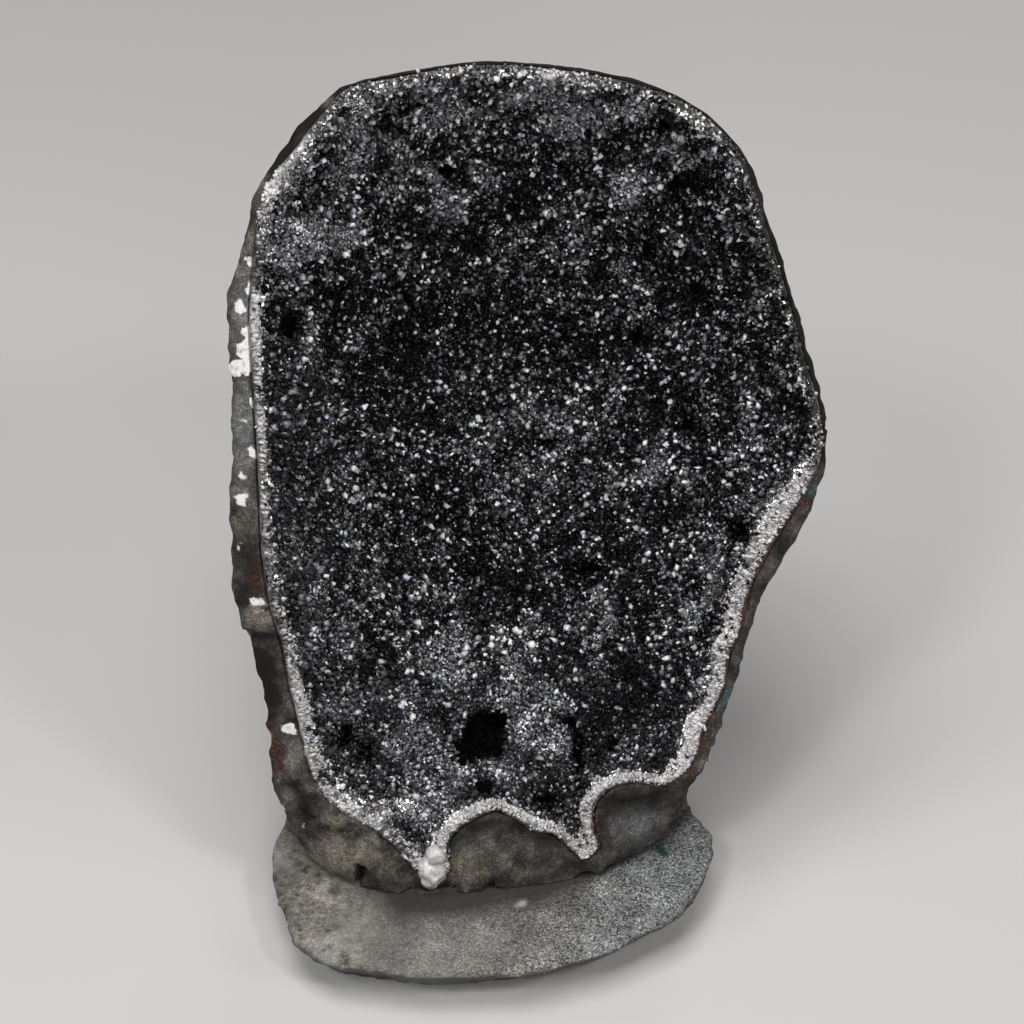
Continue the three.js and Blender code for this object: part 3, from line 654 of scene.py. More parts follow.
# Low at the back, where the outline turns in to the foot, the solid's facets are rounded off.
before, normals = points_of(rind), normals_of(rind)
middles, outer = outer_faces()
select_faces(rind, outer & (middles[:, 2] < 0.08))
bpy.ops.mesh.vertices_smooth(factor=0.5, repeat=60)
bpy.ops.object.mode_set(mode="OBJECT")
rounded = smooth(SLAB_TOP + 0.001, SLAB_TOP + 0.006, before[:, 2]) * smooth(0.075, 0.05, before[:, 2])
rounded *= smooth(0.1, -0.2, normals @ VIEW_BACK)
move_to(rind, before + (points_of(rind) - before) * rounded[:, None])
select_faces(rind, np.ones(len(middles), bool))
bpy.ops.mesh.quads_convert_to_tris()
bpy.ops.object.mode_set(mode="OBJECT")

points, normals = points_of(rind), normals_of(rind)
seen = as_seen(points)
joint_far, rim_next = from_joint(points, seen)
outward = (normals * unit(points - HEART)).sum(1)
free = smooth(0.0006, 0.003, joint_far) * smooth(-0.5, 0.1, outward) + 0.12
free *= smooth(SLAB_TOP + 0.0004, SLAB_TOP + 0.004, points[:, 2])
ridges = 1 - np.abs(lumps(points, 0.0075, 14)) * 2
height = 0.0005 * lumps(points, 0.011, 11) + 0.0004 * lumps(points, 0.0031, 12)
height += 0.00028 * lumps(points, 0.0013, 13) + 0.0004 * ridges
to_view = normals @ VIEW_BACK
viewed = to_view > 0
placed = wandered(seen, points)
height += (MM * marks(placed, RIND_SWELLS) + 0.0004 * marks(placed, PALE_MARKS, 1)) * viewed
behind = smooth(0.2, -0.3, to_view) * smooth(SLAB_TOP, SLAB_TOP + 0.008, points[:, 2])
breaks = 1 - np.abs(lumps(points, 0.016, 15)) * 2 + 0.5 * lumps(points, 0.021, 16)
bubbles = smooth(0.45, 0.8, lumps(points, 0.0034, 17)) + 0.5 * smooth(0.5, 0.8, lumps(points, 0.0021, 18))
height += behind * 0.0009 * (breaks - bubbles)
points += normals * (height * free)[:, None]

# The top edge is thin: the rock behind the rim draws down out of sight.
thin_top = smooth(0.0012, 0.0036, joint_far) * smooth(0.03, 0.016, joint_far)
thin_top *= smooth(0.125, 0.145, points[:, 2]) * smooth(0, 0.4, normals @ VIEW_UP)
points -= VIEW_UP * (thin_top * (0.0009 + 0.0013 * smooth(345, 300, seen[:, 0])))[:, None]
points[:, 2] = np.maximum(points[:, 2], SLAB_TOP + 0.0003)
move_to(rind, points)
select_only(rind)
bpy.ops.object.shade_smooth_by_angle(angle=math.radians(32))

paint(rind, "warm", marks(placed, WARM_MARKS, 0.9) * viewed)
paint(rind, "pale", smooth(0.3, 0.9, marks(placed, PALE_MARKS)) * viewed * smooth(0.014, 0.01, joint_far))
rusty_joint = rusty[rim_next] * smooth(0.0012, 0.0002, joint_far) * 0.6
paint(rind, "rust", np.clip(np.maximum(marks(placed, RUST_MARKS) * viewed, rusty_joint), 0, 1))
paint(rind, "cool", marks(placed, COOL_MARKS, 0.85) * viewed)
skin = 0.25 * behind * smooth(-0.1, 0.7, lumps(points, 0.024, 19) + 0.5 * lumps(points, 0.006, 20))
paint(rind, "blue", marks(placed, BLUE_MARKS, 0.9) * viewed + skin)
# The dark mask also darkens the thin rock along the top edge, and puts painted shade in the bubble pits of
# the back.
thin_edge = 0.85 * smooth(1.6, 0.8, basalt_mm[rim_next]) * smooth(0.006, 0.003, joint_far)
dark_here = np.maximum(marks(placed, DARK_MARKS) * viewed, thin_edge)
paint(rind, "dark", np.clip(np.maximum(dark_here, 0.7 * behind * np.minimum(bubbles, 1)), 0, 0.95))
rind.data.materials.append(rind_finish())
rind.data.materials.append(socket_finish())
middles, facing = face_places(rind)
seen = as_seen(middles)
# Faces of the socket that show down the holes get the painted shade.
in_socket = (facing @ VIEW_BACK > 0) & inside_rim(seen) & (nearest_rim(seen)[0] > 8)
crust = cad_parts["crystal_crust"]
for number in np.flatnonzero(in_socket):
    in_socket[number] = crust.closest_point_on_mesh(middles[number], distance=0.0006)[0]
rind.data.polygons.foreach_set("material_index", in_socket.astype(np.int32))
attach(rind, "root")
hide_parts("geode_shell")

# The stain in the joint. Iron has gathered where the quartz grew on the basalt: a thin uneven line
# of red-brown between the white band and the rock, brightest down the right side.
def stain_finish():
    material, tree, shader = new_material("iron_stain", 0.7)
    patches = soft_noise(tree, 420, 3, 0.6)
    iron = ramp_of(tree, patches, [
        (0.4, (0.022, 0.012, 0.01)), (0.54, (0.06, 0.022, 0.015)), (0.62, (0.15, 0.042, 0.02)),
        (0.72, (0.4, 0.13, 0.04)),
    ])
    bare = ramp_of(tree, patches, [(0.4, (0.06, 0.056, 0.052)), (0.6, (0.25, 0.24, 0.23))])
    tree.links.new(mixed(tree, attribute(tree, "rust"), bare, iron), shader.inputs["Base Color"])
    bumped(tree, shader, patches, 0.0003)
    return material


STAIN_SIDES = 6
along = unit(np.roll(rim_points, -1, 0) - np.roll(rim_points, 1, 0))
across = unit(np.cross(FACE_OUT, along))
ahead = np.cross(along, across)


def tube(name, middle, wide, deep, sides):
    """A lumpy closed tube along the rim, with its half width across the face and its half depth."""
    rings = []
    for k in range(sides):
        turn = 2 * math.pi * k / sides
        reach = across * (wide * math.cos(turn))[:, None] + ahead * (deep * math.sin(turn))[:, None]
        rings.append(middle + reach * (1 + 0.25 * lumps(rim_points + k, 0.0016, 22))[:, None])
    faces = []
    count = len(middle)
    for i in range(count):
        j = (i + 1) % count
        for k in range(sides):
            m = (k + 1) % sides
            faces.append((k * count + i, k * count + j, m * count + j, m * count + i))
    mesh = bpy.data.meshes.new(name)
    mesh.from_pydata(np.concatenate(rings).tolist(), [], faces)
    piece = bpy.data.objects.new(name, mesh)
    bpy.context.scene.collection.objects.link(piece)
    select_only(piece)
    bpy.ops.object.mode_set(mode="EDIT")
    bpy.ops.mesh.select_all(action="SELECT")
    bpy.ops.mesh.normals_make_consistent(inside=False)
    bpy.ops.object.mode_set(mode="OBJECT")
    bpy.ops.object.shade_smooth()
    return piece


thick = (0.00003 + 0.00019 * rusty) * (1 + 0.5 * lumps(rim_points, 0.0025, 21))
stain_middle = rim_points + across * 0.00028 - ahead * 0.0001
stain = tube("iron_stain", stain_middle, 1.15 * thick, thick, STAIN_SIDES)
paint(stain, "rust", np.tile(rusty, STAIN_SIDES))
stain.data.materials.append(stain_finish())
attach(stain, "root")

# The bed of the druse. Dark massive quartz that carries the crystals, with every hollow and mound
# of the lining, and at the rim the white fibrous band where the crust is broken through.
DEEP_HOLES = [(472, 750, 14, 13, 1), (488, 730, 18, 18, 1), (494, 743, 14, 14, 1), (479, 733, 14, 19, 1),
              (500, 717, 8, 7, 1), (462, 758, 6, 7, 1), (460, 742, 5, 6, 0.9),
              (639, 336, 8, 8, 1), (288, 326, 8, 12, 1), (743, 530, 5, 9, 1), (444, 170, 9, 5, 1),
              (577, 752, 5, 20, 0.8), (570, 724, 8, 7, 1), (588, 571, 11, 3, 0.9), (548, 801, 11, 5, 0.9),
              (485, 789, 10, 5, 0.9), (689, 424, 6, 7, 0.8), (681, 183, 11, 7, 0.9), (664, 123, 6, 5, 0.9),
              (603, 214, 9, 4, 0.8), (648, 251, 5, 8, 0.8), (696, 287, 7, 8, 0.8), (345, 735, 7, 10, 0.7),
              (549, 441, 8, 4, 0.8), (402, 292, 6, 8, 0.7), (366, 752, 6, 10, 0.6), (612, 744, 6, 8, 0.6)]
HOLLOWS = [
    (485, 736, 24, 26, -3), (485, 790, 13, 8, -2), (547, 802, 14, 8, -1.5), (578, 752, 7, 34, -2.2),
    (570, 725, 7, 8, -1.5), (639, 335, 8, 9, -3), (288, 326, 11, 15, -3), (743, 530, 10, 12, -3),
    (444, 170, 8, 6, -2.5), (588, 570, 17, 10, -3), (690, 180, 15, 11, -2), (664, 123, 9, 9, -1.5),
    (603, 214, 14, 8, -1.5), (648, 251, 8, 14, -1.5), (696, 287, 10, 13, -1.5), (688, 424, 13, 14, -2.2),
    (549, 441, 12, 6, -1.5), (402, 292, 12, 14, -1.2), (345, 735, 12, 16, -1.6), (366, 752, 14, 18, -1.4),
    (640, 640, 24, 20, -1.5), (393, 678, 14, 12, -1.5), (334, 696, 12, 10, -1.2), (430, 330, 14, 10, -1),
    (520, 300, 10, 9, -1), (610, 460, 12, 9, -1), (470, 520, 14, 9, -1), (560, 360, 9, 8, -1),
]
MOUNDS = [
    (595, 612, 22, 26, 1.6), (593, 553, 14, 10, 1.5), (500, 772, 12, 9, 2), (538, 741, 20, 22, 1),
    (565, 706, 9, 7, 1.5), (556, 764, 10, 9, 1.5), (514, 680, 40, 34, 1), (320, 240, 30, 16, 1.2),
    (296, 228, 12, 6, 1), (625, 190, 16, 18, 1.2), (683, 164, 10, 6, 1.2), (623, 264, 9, 11, 1),
    (630, 110, 18, 10, 1), (432, 172, 10, 10, 1), (650, 520, 26, 14, 0.9), (380, 815, 40, 16, 1.5),
    (330, 400, 24, 30, 0.8), (360, 560, 30, 22, 0.8), (450, 470, 24, 16, 0.8), (690, 650, 14, 30, 0.8),
    (455, 640, 20, 14, 1), (560, 130, 20, 12, 0.8), (500, 240, 18, 14, 0.8), (740, 380, 14, 20, 0.8),
]
BED_FADE = 0.0035  # the bed's relief dies away this far from the rim
MILKY_SPOTS = [  # where the white band swells, with pinkish milky quartz
    (431, 866, 14, 20, 1.3), (583, 838, 9, 14, 1), (684, 767, 11, 10, 1.2), (456, 821, 10, 8, 1.1),
    (600, 779, 8, 7, 1), (330, 772, 10, 10, 0.7), (316, 745, 8, 12, 0.7), (342, 803, 9, 7, 1),
    (384, 816, 9, 7, 1), (406, 808, 9, 7, 0.8), (548, 72, 9, 6, 1.2), (271, 190, 8, 9, 1),
    (296, 152, 8, 8, 0.7), (700, 725, 9, 14, 0.6), (778, 522, 14, 16, 0.6), (735, 640, 8, 12, 0.6),
]


def quartz_finish(name, roughness, gloss, glinting=False):
    """Quartz in the piece's own painted colours, with painted glints on fine grains where it is massive."""
    material, tree, shader = new_material(name, roughness, gloss)
    shader.inputs["IOR"].default_value = 1.55
    colour = tree.nodes.new("ShaderNodeAttribute")
    colour.attribute_name = "quartz"
    haze = soft_noise(tree, 1400, 2, 0.6)
    veil = ramp_of(tree, haze, [(0.3, (0.72, 0.72, 0.72)), (0.7, (1.25, 1.25, 1.25))])
    tone = mixed(tree, 1.0, colour.outputs["Color"], veil, "MULTIPLY")
    if glinting:
        grains = placed_grain(tree, 2300, 300)
        # Painted glints: a few fine grains are painted many times lighter.
        sparks = ramp_of(tree, grains.outputs["Grain"], [
            (0.0, (0.2, 0.2, 0.2)), (0.45, (1, 1, 1)), (0.75, (8, 8, 8)), (1.0, (45, 45, 45)),
        ])
        sparks = mixed(tree, attribute(tree, "bare"), (1, 1, 1), sparks)
        tone = mixed(tree, 1.0, tone, sparks, "MULTIPLY")
        bumped(tree, shader, grains.outputs["Height"], 0.0004)
    tree.links.new(tone, shader.inputs["Base Color"])
    return material


def paint_quartz(piece, colours):
    layer = piece.data.attributes.new("quartz", "FLOAT_COLOR", "POINT")
    full = np.ones((len(colours), 4), np.float32)
    full[:, :3] = colours
    layer.data.foreach_set("color", full.ravel())


PALE_ZONES = [
    (595, 612, 24, 28, 0.9), (593, 553, 14, 10, 0.4), (500, 772, 12, 9, 0.8), (520, 735, 12, 14, 0.5),
    (556, 745, 16, 22, 0.7), (565, 706, 10, 8, 1), (514, 670, 60, 50, 0.28), (333, 238, 26, 14, 0.9),
    (296, 228, 14, 7, 1.1), (287, 175, 14, 12, 0.9), (272, 189, 10, 9, 1.4), (297, 154, 14, 12, 0.8),
    (354, 101, 10, 9, 1), (390, 88, 14, 7, 0.9), (420, 84, 8, 7, 1.2), (548, 73, 11, 9, 2.2),
    (552, 82, 5, 8, 1), (625, 186, 16, 18, 0.9), (683, 164, 10, 6, 1.3), (623, 264, 9, 11, 0.8),
    (630, 110, 18, 10, 0.7), (432, 172, 10, 10, 1), (663, 96, 9, 7, 1), (690, 108, 14, 10, 0.6),
    (305, 400, 24, 60, 0.15), (270, 420, 12, 110, 0.2), (290, 560, 28, 60, 0.15), (350, 810, 30, 22, 0.5),
    (400, 815, 30, 18, 0.65), (430, 800, 24, 16, 0.4), (310, 330, 14, 20, 0.5), (650, 475, 18, 12, 0.4),
    (690, 620, 10, 16, 0.4), (715, 600, 14, 40, 0.3), (540, 112, 60, 16, 0.25), (404, 120, 40, 18, 0.2),
    (455, 205, 20, 16, 0.3), (380, 250, 40, 30, 0.15), (430, 735, 16, 20, 0.4), (398, 748, 18, 14, 0.5),
    (420, 700, 20, 14, 0.4), (300, 245, 30, 30, 0.5), (690, 480, 14, 14, 0.3), (600, 640, 22, 12, 0.2),
]
# Darker zones of the druse, with painted shade in its holes and pockets.
DARK_ZONES = [
    (430, 350, 60, 70, 0.35), (640, 700, 44, 46, 0.55), (596, 740, 14, 40, 0.6), (545, 800, 24, 12, 0.6),
    (485, 790, 18, 10, 0.8), (690, 180, 18, 13, 0.9), (664, 123, 12, 10, 0.8), (603, 214, 18, 10, 0.8),
    (648, 251, 12, 16, 0.6), (696, 287, 13, 15, 0.8), (688, 424, 14, 15, 0.9), (639, 336, 9, 10, 1.2),
    (288, 326, 12, 16, 1.2), (743, 530, 10, 13, 1.1), (444, 170, 9, 6, 1.1), (588, 570, 18, 8, 1),
    (345, 735, 12, 16, 0.8), (366, 752, 14, 18, 0.6), (578, 752, 8, 34, 1), (570, 725, 8, 9, 0.8),
    (485, 736, 21, 24, 1.4), (482, 738, 20, 22, 1.4), (549, 441, 14, 7, 0.6), (402, 292, 14, 14, 0.4),
    (250, 700, 20, 40, 0.2), (640, 610, 20, 26, 0.4), (660, 410, 10, 20, 0.5), (334, 150, 20, 14, 0.3),
    (403, 838, 16, 14, 0.6), (372, 822, 12, 8, 0.3), (730, 330, 30, 90, 0.15), (520, 560, 90, 50, 0.25),
]


def hole_share(seen, points):
    """1 inside the black holes of the lining, falling off quickly at their uneven edges."""
    seen = 0.5 * seen + 0.5 * wandered(seen, points)
    total = np.zeros(len(seen))
    for across, down, wide, high, strength in DEEP_HOLES:
        spread = ((seen[:, 0] - across) / wide) ** 2 + ((seen[:, 1] - down) / high) ** 2
        total = np.maximum(total, strength * smooth(1.25, 0.8, spread))
    return total


def zone_tone(seen, points):
    """How light the druse is at a place, about 1 on the whole, with painted shade in its holes and pockets.
    """
    tone = 1 + 0.4 * lumps(points, 0.009, 31) + 0.55 * lumps(points, 0.0036, 32)
    tone *= 1 + 1.5 * marks(seen, PALE_ZONES) + 0.3 * smooth(260, 90, seen[:, 1])
    tone *= 1 + 0.2 * smooth(540, 700, seen[:, 1]) * smooth(560, 420, seen[:, 0])
    tone *= 1 - 0.14 * smooth(380, 300, seen[:, 0]) * smooth(300, 420, seen[:, 1])
    return np.clip(tone * np.clip(1 - 0.85 * marks(seen, DARK_ZONES), 0, 1), 0, 4)


def whiteness(seen):
    """How much a place belongs to the white band at the rim, from 0 to 1."""
    far, which = nearest_rim(seen)
    wide = band_mm[which] / PIXEL_MM
    band = band_pale[which] * smooth(wide * 1.4 + 3, wide * 0.6, far)
    return np.clip(np.maximum(band, marks(seen, MILKY_SPOTS)), 0, 1)


bed = copy_of("crystal_crust", "quartz_bed")
middles, facing = face_places(bed)
open_side = (facing * (HEART - middles)).sum(1) > 0

# The solid's own large points are levelled, as real crystals come in their place: their tips are
# the corners where four faces of the open side meet.
corners = np.zeros(len(bed.data.vertices), int)
on_open = np.zeros(len(bed.data.vertices), int)
for face, inside in zip(bed.data.polygons, open_side):
    for vertex in face.vertices:
        corners[vertex] += 1
        on_open[vertex] += inside
select_faces(bed, np.zeros(len(bed.data.polygons), bool))
bpy.context.tool_settings.mesh_select_mode = (True, False, False)
bpy.ops.object.mode_set(mode="OBJECT")
bed.data.vertices.foreach_set("select", (corners == 4) & (on_open == 4))
bpy.ops.object.mode_set(mode="EDIT")
bpy.ops.mesh.vertices_smooth(factor=1, repeat=6)
bpy.ops.object.mode_set(mode="OBJECT")
select_faces(bed, open_side)
bpy.ops.mesh.subdivide(number_cuts=3)
bpy.ops.mesh.vertices_smooth(factor=0.5, repeat=3)
bpy.ops.mesh.select_all(action="SELECT")
bpy.ops.mesh.quads_convert_to_tris()
bpy.ops.object.mode_set(mode="OBJECT")
points, normals = points_of(bed), normals_of(bed)
seen = as_seen(points)
inward = unit(HEART - points)
open_to = (normals * inward).sum(1) > 0.05
free = smooth(0.0008, BED_FADE, from_joint(points, seen)[0]) * open_to
height = MM * (marks(seen, HOLLOWS) + marks(seen, MOUNDS))
height += 0.0005 * lumps(points, 0.0055, 33) + 0.0003 * lumps(points, 0.0026, 34)
points += inward * (height * free)[:, None]
move_to(bed, points)
select_only(bed)
bpy.ops.object.shade_smooth()
tone = zone_tone(seen, points)
tone = (0.003 * tone + 0.02 * np.clip(tone - 1.2, 0, 1.3))[:, None] * np.array([1, 1, 1.08])
white = whiteness(seen)[:, None]
paint_quartz(bed, tone * (1 - white) + white * np.array([0.5, 0.48, 0.47]))
paint(bed, "bare", 1 - white[:, 0])
bed.data.materials.append(quartz_finish("massive_quartz", 0.5, 0.06, glinting=True))
bed.data.materials.append(bpy.data.materials["painted_hollow_shade"])
# Faces in the black holes of the bed get the same painted shade.
middles, facing = face_places(bed)
in_hole = hole_share(as_seen(middles), middles) > 0.3
bed.data.polygons.foreach_set("material_index", in_hole.astype(np.int32))
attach(bed, "root")
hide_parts("crystal_crust")

# The druse. Tens of thousands of small pointed quartz crystals that grew side by side on the bed:
# six-sided columns with pointed ends, smoky to black, about a millimetre across, a few larger.
CRYSTALS = 38000
MIDDLE_WIDTH = 0.0008
LARGE_SHARE = 0.012
LYING_SHARE = 0.035
IN_THE_BED = 0.25  # the share of its length that a crystal stands in the bed
LIGHTER = ((0.46, 0.016, 0.12), (0.16, 0.16, 0.46), (0.075, 0.75, 0.95))  # a share and its range of greys
SHAPES_MIX = [0.09, 0.07, 0.24, 0.26, 0.14, 0.2]  # how common each of the six shapes is
LARGE_SHAPES = [0, 1, 3]
LYING_SHAPES = [0, 5]
HALFWAY_DOWN = 430  # the row of the picture where the upper and the lower half meet


def crystal_column(name, sides, shoulder):
    """The column of a crystal, with only its upper end selected in edit mode."""
    bpy.ops.object.select_all(action="DESELECT")
    bpy.ops.mesh.primitive_cylinder_add(vertices=sides, radius=0.5, depth=shoulder, end_fill_type="NGON",
                                        location=(0, 0, shoulder / 2))
    crystal = bpy.context.object
    crystal.name = name
    bpy.ops.object.transform_apply(location=True)
    select_faces(crystal, [face.normal.z > 0.9 for face in crystal.data.polygons])
    return crystal


def shape_taken(crystal):
    """The points and faces of a modelled crystal, which then goes."""
    bpy.ops.object.mode_set(mode="OBJECT")
    shape = points_of(crystal), [tuple(face.vertices) for face in crystal.data.polygons]
    bpy.data.objects.remove(crystal)
    return shape


def pointed_crystal(name, sides, shoulder, tip_aside):
    """A column narrowed to a point above its shoulder."""
    crystal = crystal_column(name, sides, shoulder)
    bpy.ops.mesh.extrude_region_move(TRANSFORM_OT_translate={"value": (tip_aside, 0, 1 - shoulder)})
    bpy.ops.mesh.merge(type="CENTER")
    return shape_taken(crystal)


def sloping_crystal(name, sides, shoulder, slope):
    """A column that ends in one large sloping face."""
    crystal = crystal_column(name, sides, shoulder)
    bpy.ops.transform.rotate(value=math.radians(slope), orient_axis="Y", center_override=(0, 0, shoulder))
    return shape_taken(crystal)


def roof_crystal(name, sides, shoulder, narrow, aside):
    """A column that ends in a small flat ridge with broad slopes round it."""
    crystal = crystal_column(name, sides, shoulder)
    bpy.ops.mesh.extrude_region_move(TRANSFORM_OT_translate={"value": (aside, 0, 1 - shoulder)})
    bpy.ops.transform.resize(value=(narrow, 0.6, 1), center_override=(aside, 0, 1))
    return shape_taken(crystal)


def joined_crystals(name, shapes, which, places, axes, sizes, colours, root=0.05):
    """Every crystal of one piece as one mesh: its shape turned, sized, placed and coloured.

    The root is how light a crystal's foot is painted beside its point, a painted shade between the crystals.
    """
    rng = np.random.default_rng(len(places))
    all_points, all_colours, loops, starts, lengths = [], [], [], [], []
    base = loop_base = 0
    for number, (shape, faces) in enumerate(shapes):
        chosen = np.flatnonzero(which == number)
        if not len(chosen):
            continue
        axis = axes[chosen]
        helper = np.where(np.abs(axis[:, 2:3]) < 0.8, [[0, 0, 1.0]], [[1.0, 0, 0]])
        first = unit(np.cross(axis, helper))
        second = np.cross(axis, first)
        turn = rng.uniform(0, 2 * math.pi, len(chosen))[:, None]
        side = first * np.cos(turn) + second * np.sin(turn)
        other = np.cross(axis, side)
        local = shape[None] * sizes[chosen][:, None, :]
        placed = (places[chosen][:, None] + local[..., :1] * side[:, None]
                  + local[..., 1:2] * other[:, None] + local[..., 2:] * axis[:, None])
        # Painted shade between the crystals: each is painted darker towards its foot.
        rise = root + (1 - root) * smooth(0.15, 0.55, shape[:, 2])
        painted = colours[chosen][:, None] * rise[None, :, None]
        all_points.append(placed.reshape(-1, 3))
        all_colours.append(painted.reshape(-1, 3))
        flat = np.concatenate([np.array(face) for face in faces])
        size = np.array([len(face) for face in faces])
        shift = base + np.arange(len(chosen))[:, None] * len(shape)
        loops.append((flat[None] + shift).ravel())
        lengths.append(np.tile(size, len(chosen)))
        first_loop = np.concatenate(([0], np.cumsum(size)[:-1]))
        starts.append((first_loop[None] + loop_base + np.arange(len(chosen))[:, None] * len(flat)).ravel())
        base += len(chosen) * len(shape)
        loop_base += len(chosen) * len(flat)
    mesh = bpy.data.meshes.new(name)
    points = np.concatenate(all_points)
    loops, starts, lengths = (np.concatenate(part).astype(np.int32) for part in (loops, starts, lengths))
    mesh.vertices.add(len(points))
    mesh.vertices.foreach_set("co", points.ravel())
    mesh.loops.add(len(loops))
    mesh.loops.foreach_set("vertex_index", loops)
    mesh.polygons.add(len(starts))
    mesh.polygons.foreach_set("loop_start", starts)
    mesh.polygons.foreach_set("loop_total", lengths)
    mesh.update(calc_edges=True)
    mesh.validate()
    piece = bpy.data.objects.new(name, mesh)
    bpy.context.scene.collection.objects.link(piece)
    paint_quartz(piece, np.concatenate(all_colours))
    return piece


def scattered(piece, count, rng, chosen):
    """Places spread over the chosen faces of a piece by their area, each with its face's normal."""
    mesh = piece.data
    mesh.calc_loop_triangles()
    corners = np.empty(len(mesh.loop_triangles) * 3, int)
    mesh.loop_triangles.foreach_get("vertices", corners)
    corners = points_of(piece)[corners.reshape(-1, 3)]
    owner = np.empty(len(mesh.loop_triangles), int)
    mesh.loop_triangles.foreach_get("polygon_index", owner)
    corners = corners[chosen[owner]]
    normal = np.cross(corners[:, 1] - corners[:, 0], corners[:, 2] - corners[:, 0])
    area = np.linalg.norm(normal, axis=1)
    summed = np.cumsum(area) / area.sum()
    even = (np.arange(count) + rng.uniform(0, 1, count)) / count
    pick = np.minimum(np.searchsorted(summed, even), len(area) - 1)
    u, v = rng.uniform(0, 1, (2, count))
    over = u + v > 1
    u[over], v[over] = 1 - u[over], 1 - v[over]
    a, b, c = corners[pick, 0], corners[pick, 1], corners[pick, 2]
    places = a + (b - a) * u[:, None] + (c - a) * v[:, None]
    return places, normal[pick] / area[pick][:, None]


crystal_shapes = [
    pointed_crystal("six_sided", 6, 0.55, 0.12), pointed_crystal("six_leaning", 6, 0.5, 0.3),
    pointed_crystal("three_faced", 3, 0.5, 0.08), sloping_crystal("one_sloping_face", 5, 0.75, 42),
    roof_crystal("ridged", 4, 0.55, 0.15, 0.1), sloping_crystal("blunt", 4, 0.8, 24),
]
rng = np.random.default_rng(20)
middles, facing = face_places(bed)
open_faces = (facing * unit(HEART - middles)).sum(1) > 0.02
places, normals = scattered(bed, CRYSTALS, rng, open_faces)
seen = as_seen(places)
tone = zone_tone(seen, places)
near_edge = from_joint(places, seen)[0] < 0.0045
widths = np.clip(MIDDLE_WIDTH * np.exp(rng.normal(0, 0.36, CRYSTALS)), 0.0004, 0.00145)
large = (rng.uniform(0, 1, CRYSTALS) < LARGE_SHARE) & ~near_edge
widths[large] = rng.uniform(0.0013, 0.0018, large.sum())
sugary = (tone > 1.5) & (rng.uniform(0, 1, CRYSTALS) < 0.6)
widths[sugary] *= 0.7
talls = widths * rng.uniform(0.9, 1.6, CRYSTALS)
lying = (rng.uniform(0, 1, CRYSTALS) < LYING_SHARE) & ~near_edge
widths[lying] = rng.uniform(0.0004, 0.0006, lying.sum())
talls[lying] = widths[lying] * rng.uniform(2, 3.6, lying.sum())
axes = unit(normals + rng.normal(0, 1, (CRYSTALS, 3)) * np.where(lying, 1.6, 0.55)[:, None])
sizes = np.column_stack((widths, widths * rng.uniform(0.7, 1.1, CRYSTALS), talls))
places = places - axes * talls[:, None] * IN_THE_BED
places[lying] += normals[lying] * 0.0006

# Most crystals are near black. Some are grey or bright, more of them in the pale zones, where the
# druse is also veiled by fine milky quartz.
grey = 0.0008 + 0.014 * rng.gamma(0.6, 1.0, CRYSTALS)
light = rng.uniform(0, 1, CRYSTALS) / np.clip(tone, 0.03, 3)
for share, low, high in LIGHTER:
    grey[light < share] = rng.uniform(low, high, (light < share).sum())
grey *= np.clip(tone, 0.02, 1.5) ** 0.6
grey += 0.05 * np.clip(tone - 1.2, 0, 1.3) * rng.uniform(0.3, 1.7, CRYSTALS)
low_left = smooth(370, 290, seen[:, 0]) * smooth(300, 450, seen[:, 1])
veiled = 0.34 * np.clip(smooth(620, 740, seen[:, 1]) + low_left, 0, 1)
veiled = np.maximum(veiled, 0.5 * smooth(1.35, 2.2, tone))
grey += veiled * (0.07 * np.clip(tone, 0.05, 2.5) - grey)
white = np.clip(whiteness(seen) ** 1.6 * (1 + 0.7 * lumps(places, 0.003, 35)), 0, 1)
milky = rng.uniform(0, 1, CRYSTALS) < white
grey[milky] = rng.uniform(0.4, 0.9, milky.sum())
sizes[milky] *= 0.75
tint = np.array([1, 1, 1.07]) + rng.normal(0, 1, (CRYSTALS, 1)) * np.array([0.035, 0.01, -0.055])
tint[milky] = [1, 0.975, 0.965]
colours = np.clip(grey[:, None] * tint, 0, 0.92)
keep = hole_share(seen, places) < rng.uniform(0.25, 1.0, CRYSTALS) ** 2
shape_of = rng.choice(len(crystal_shapes), CRYSTALS, p=SHAPES_MIX)
shape_of[large] = rng.choice(LARGE_SHAPES, large.sum())
shape_of[lying] = rng.choice(LYING_SHAPES, lying.sum())
glossy = light < rng.uniform(0.3, 0.6, CRYSTALS)
upper = seen[:, 1] < HALFWAY_DOWN
dark_finish = quartz_finish("black_crystal", 0.25, 0.09)
bright_finish = quartz_finish("smoky_crystal", 0.07, 0.85)
for name, part, finish in (
    ("black_upper", upper & ~glossy, dark_finish), ("black_lower", ~upper & ~glossy, dark_finish),
    ("smoky_upper", upper & glossy, bright_finish), ("smoky_lower", ~upper & glossy, bright_finish),
):
    part &= keep
    druse = joined_crystals(name, crystal_shapes, shape_of[part], places[part], axes[part], sizes[part],
                            colours[part])
    druse.data.materials.append(finish)
    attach(druse, "root")
    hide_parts("crystal_crust")

# The white band. At the break the crust shows its root, a lumpy ribbon of milky quartz that grew
# from the basalt inwards all along the rim, with a rounded white lump at its lowest tip.
BAND_SIDES = 10
BAND_DEPTH = 0.0007
TIP_LUMPS = [(432, 870, 2.8), (435, 854, 2.1), (427, 866, 2), (429, 880, 1.6)]  # across, down, radius in mm

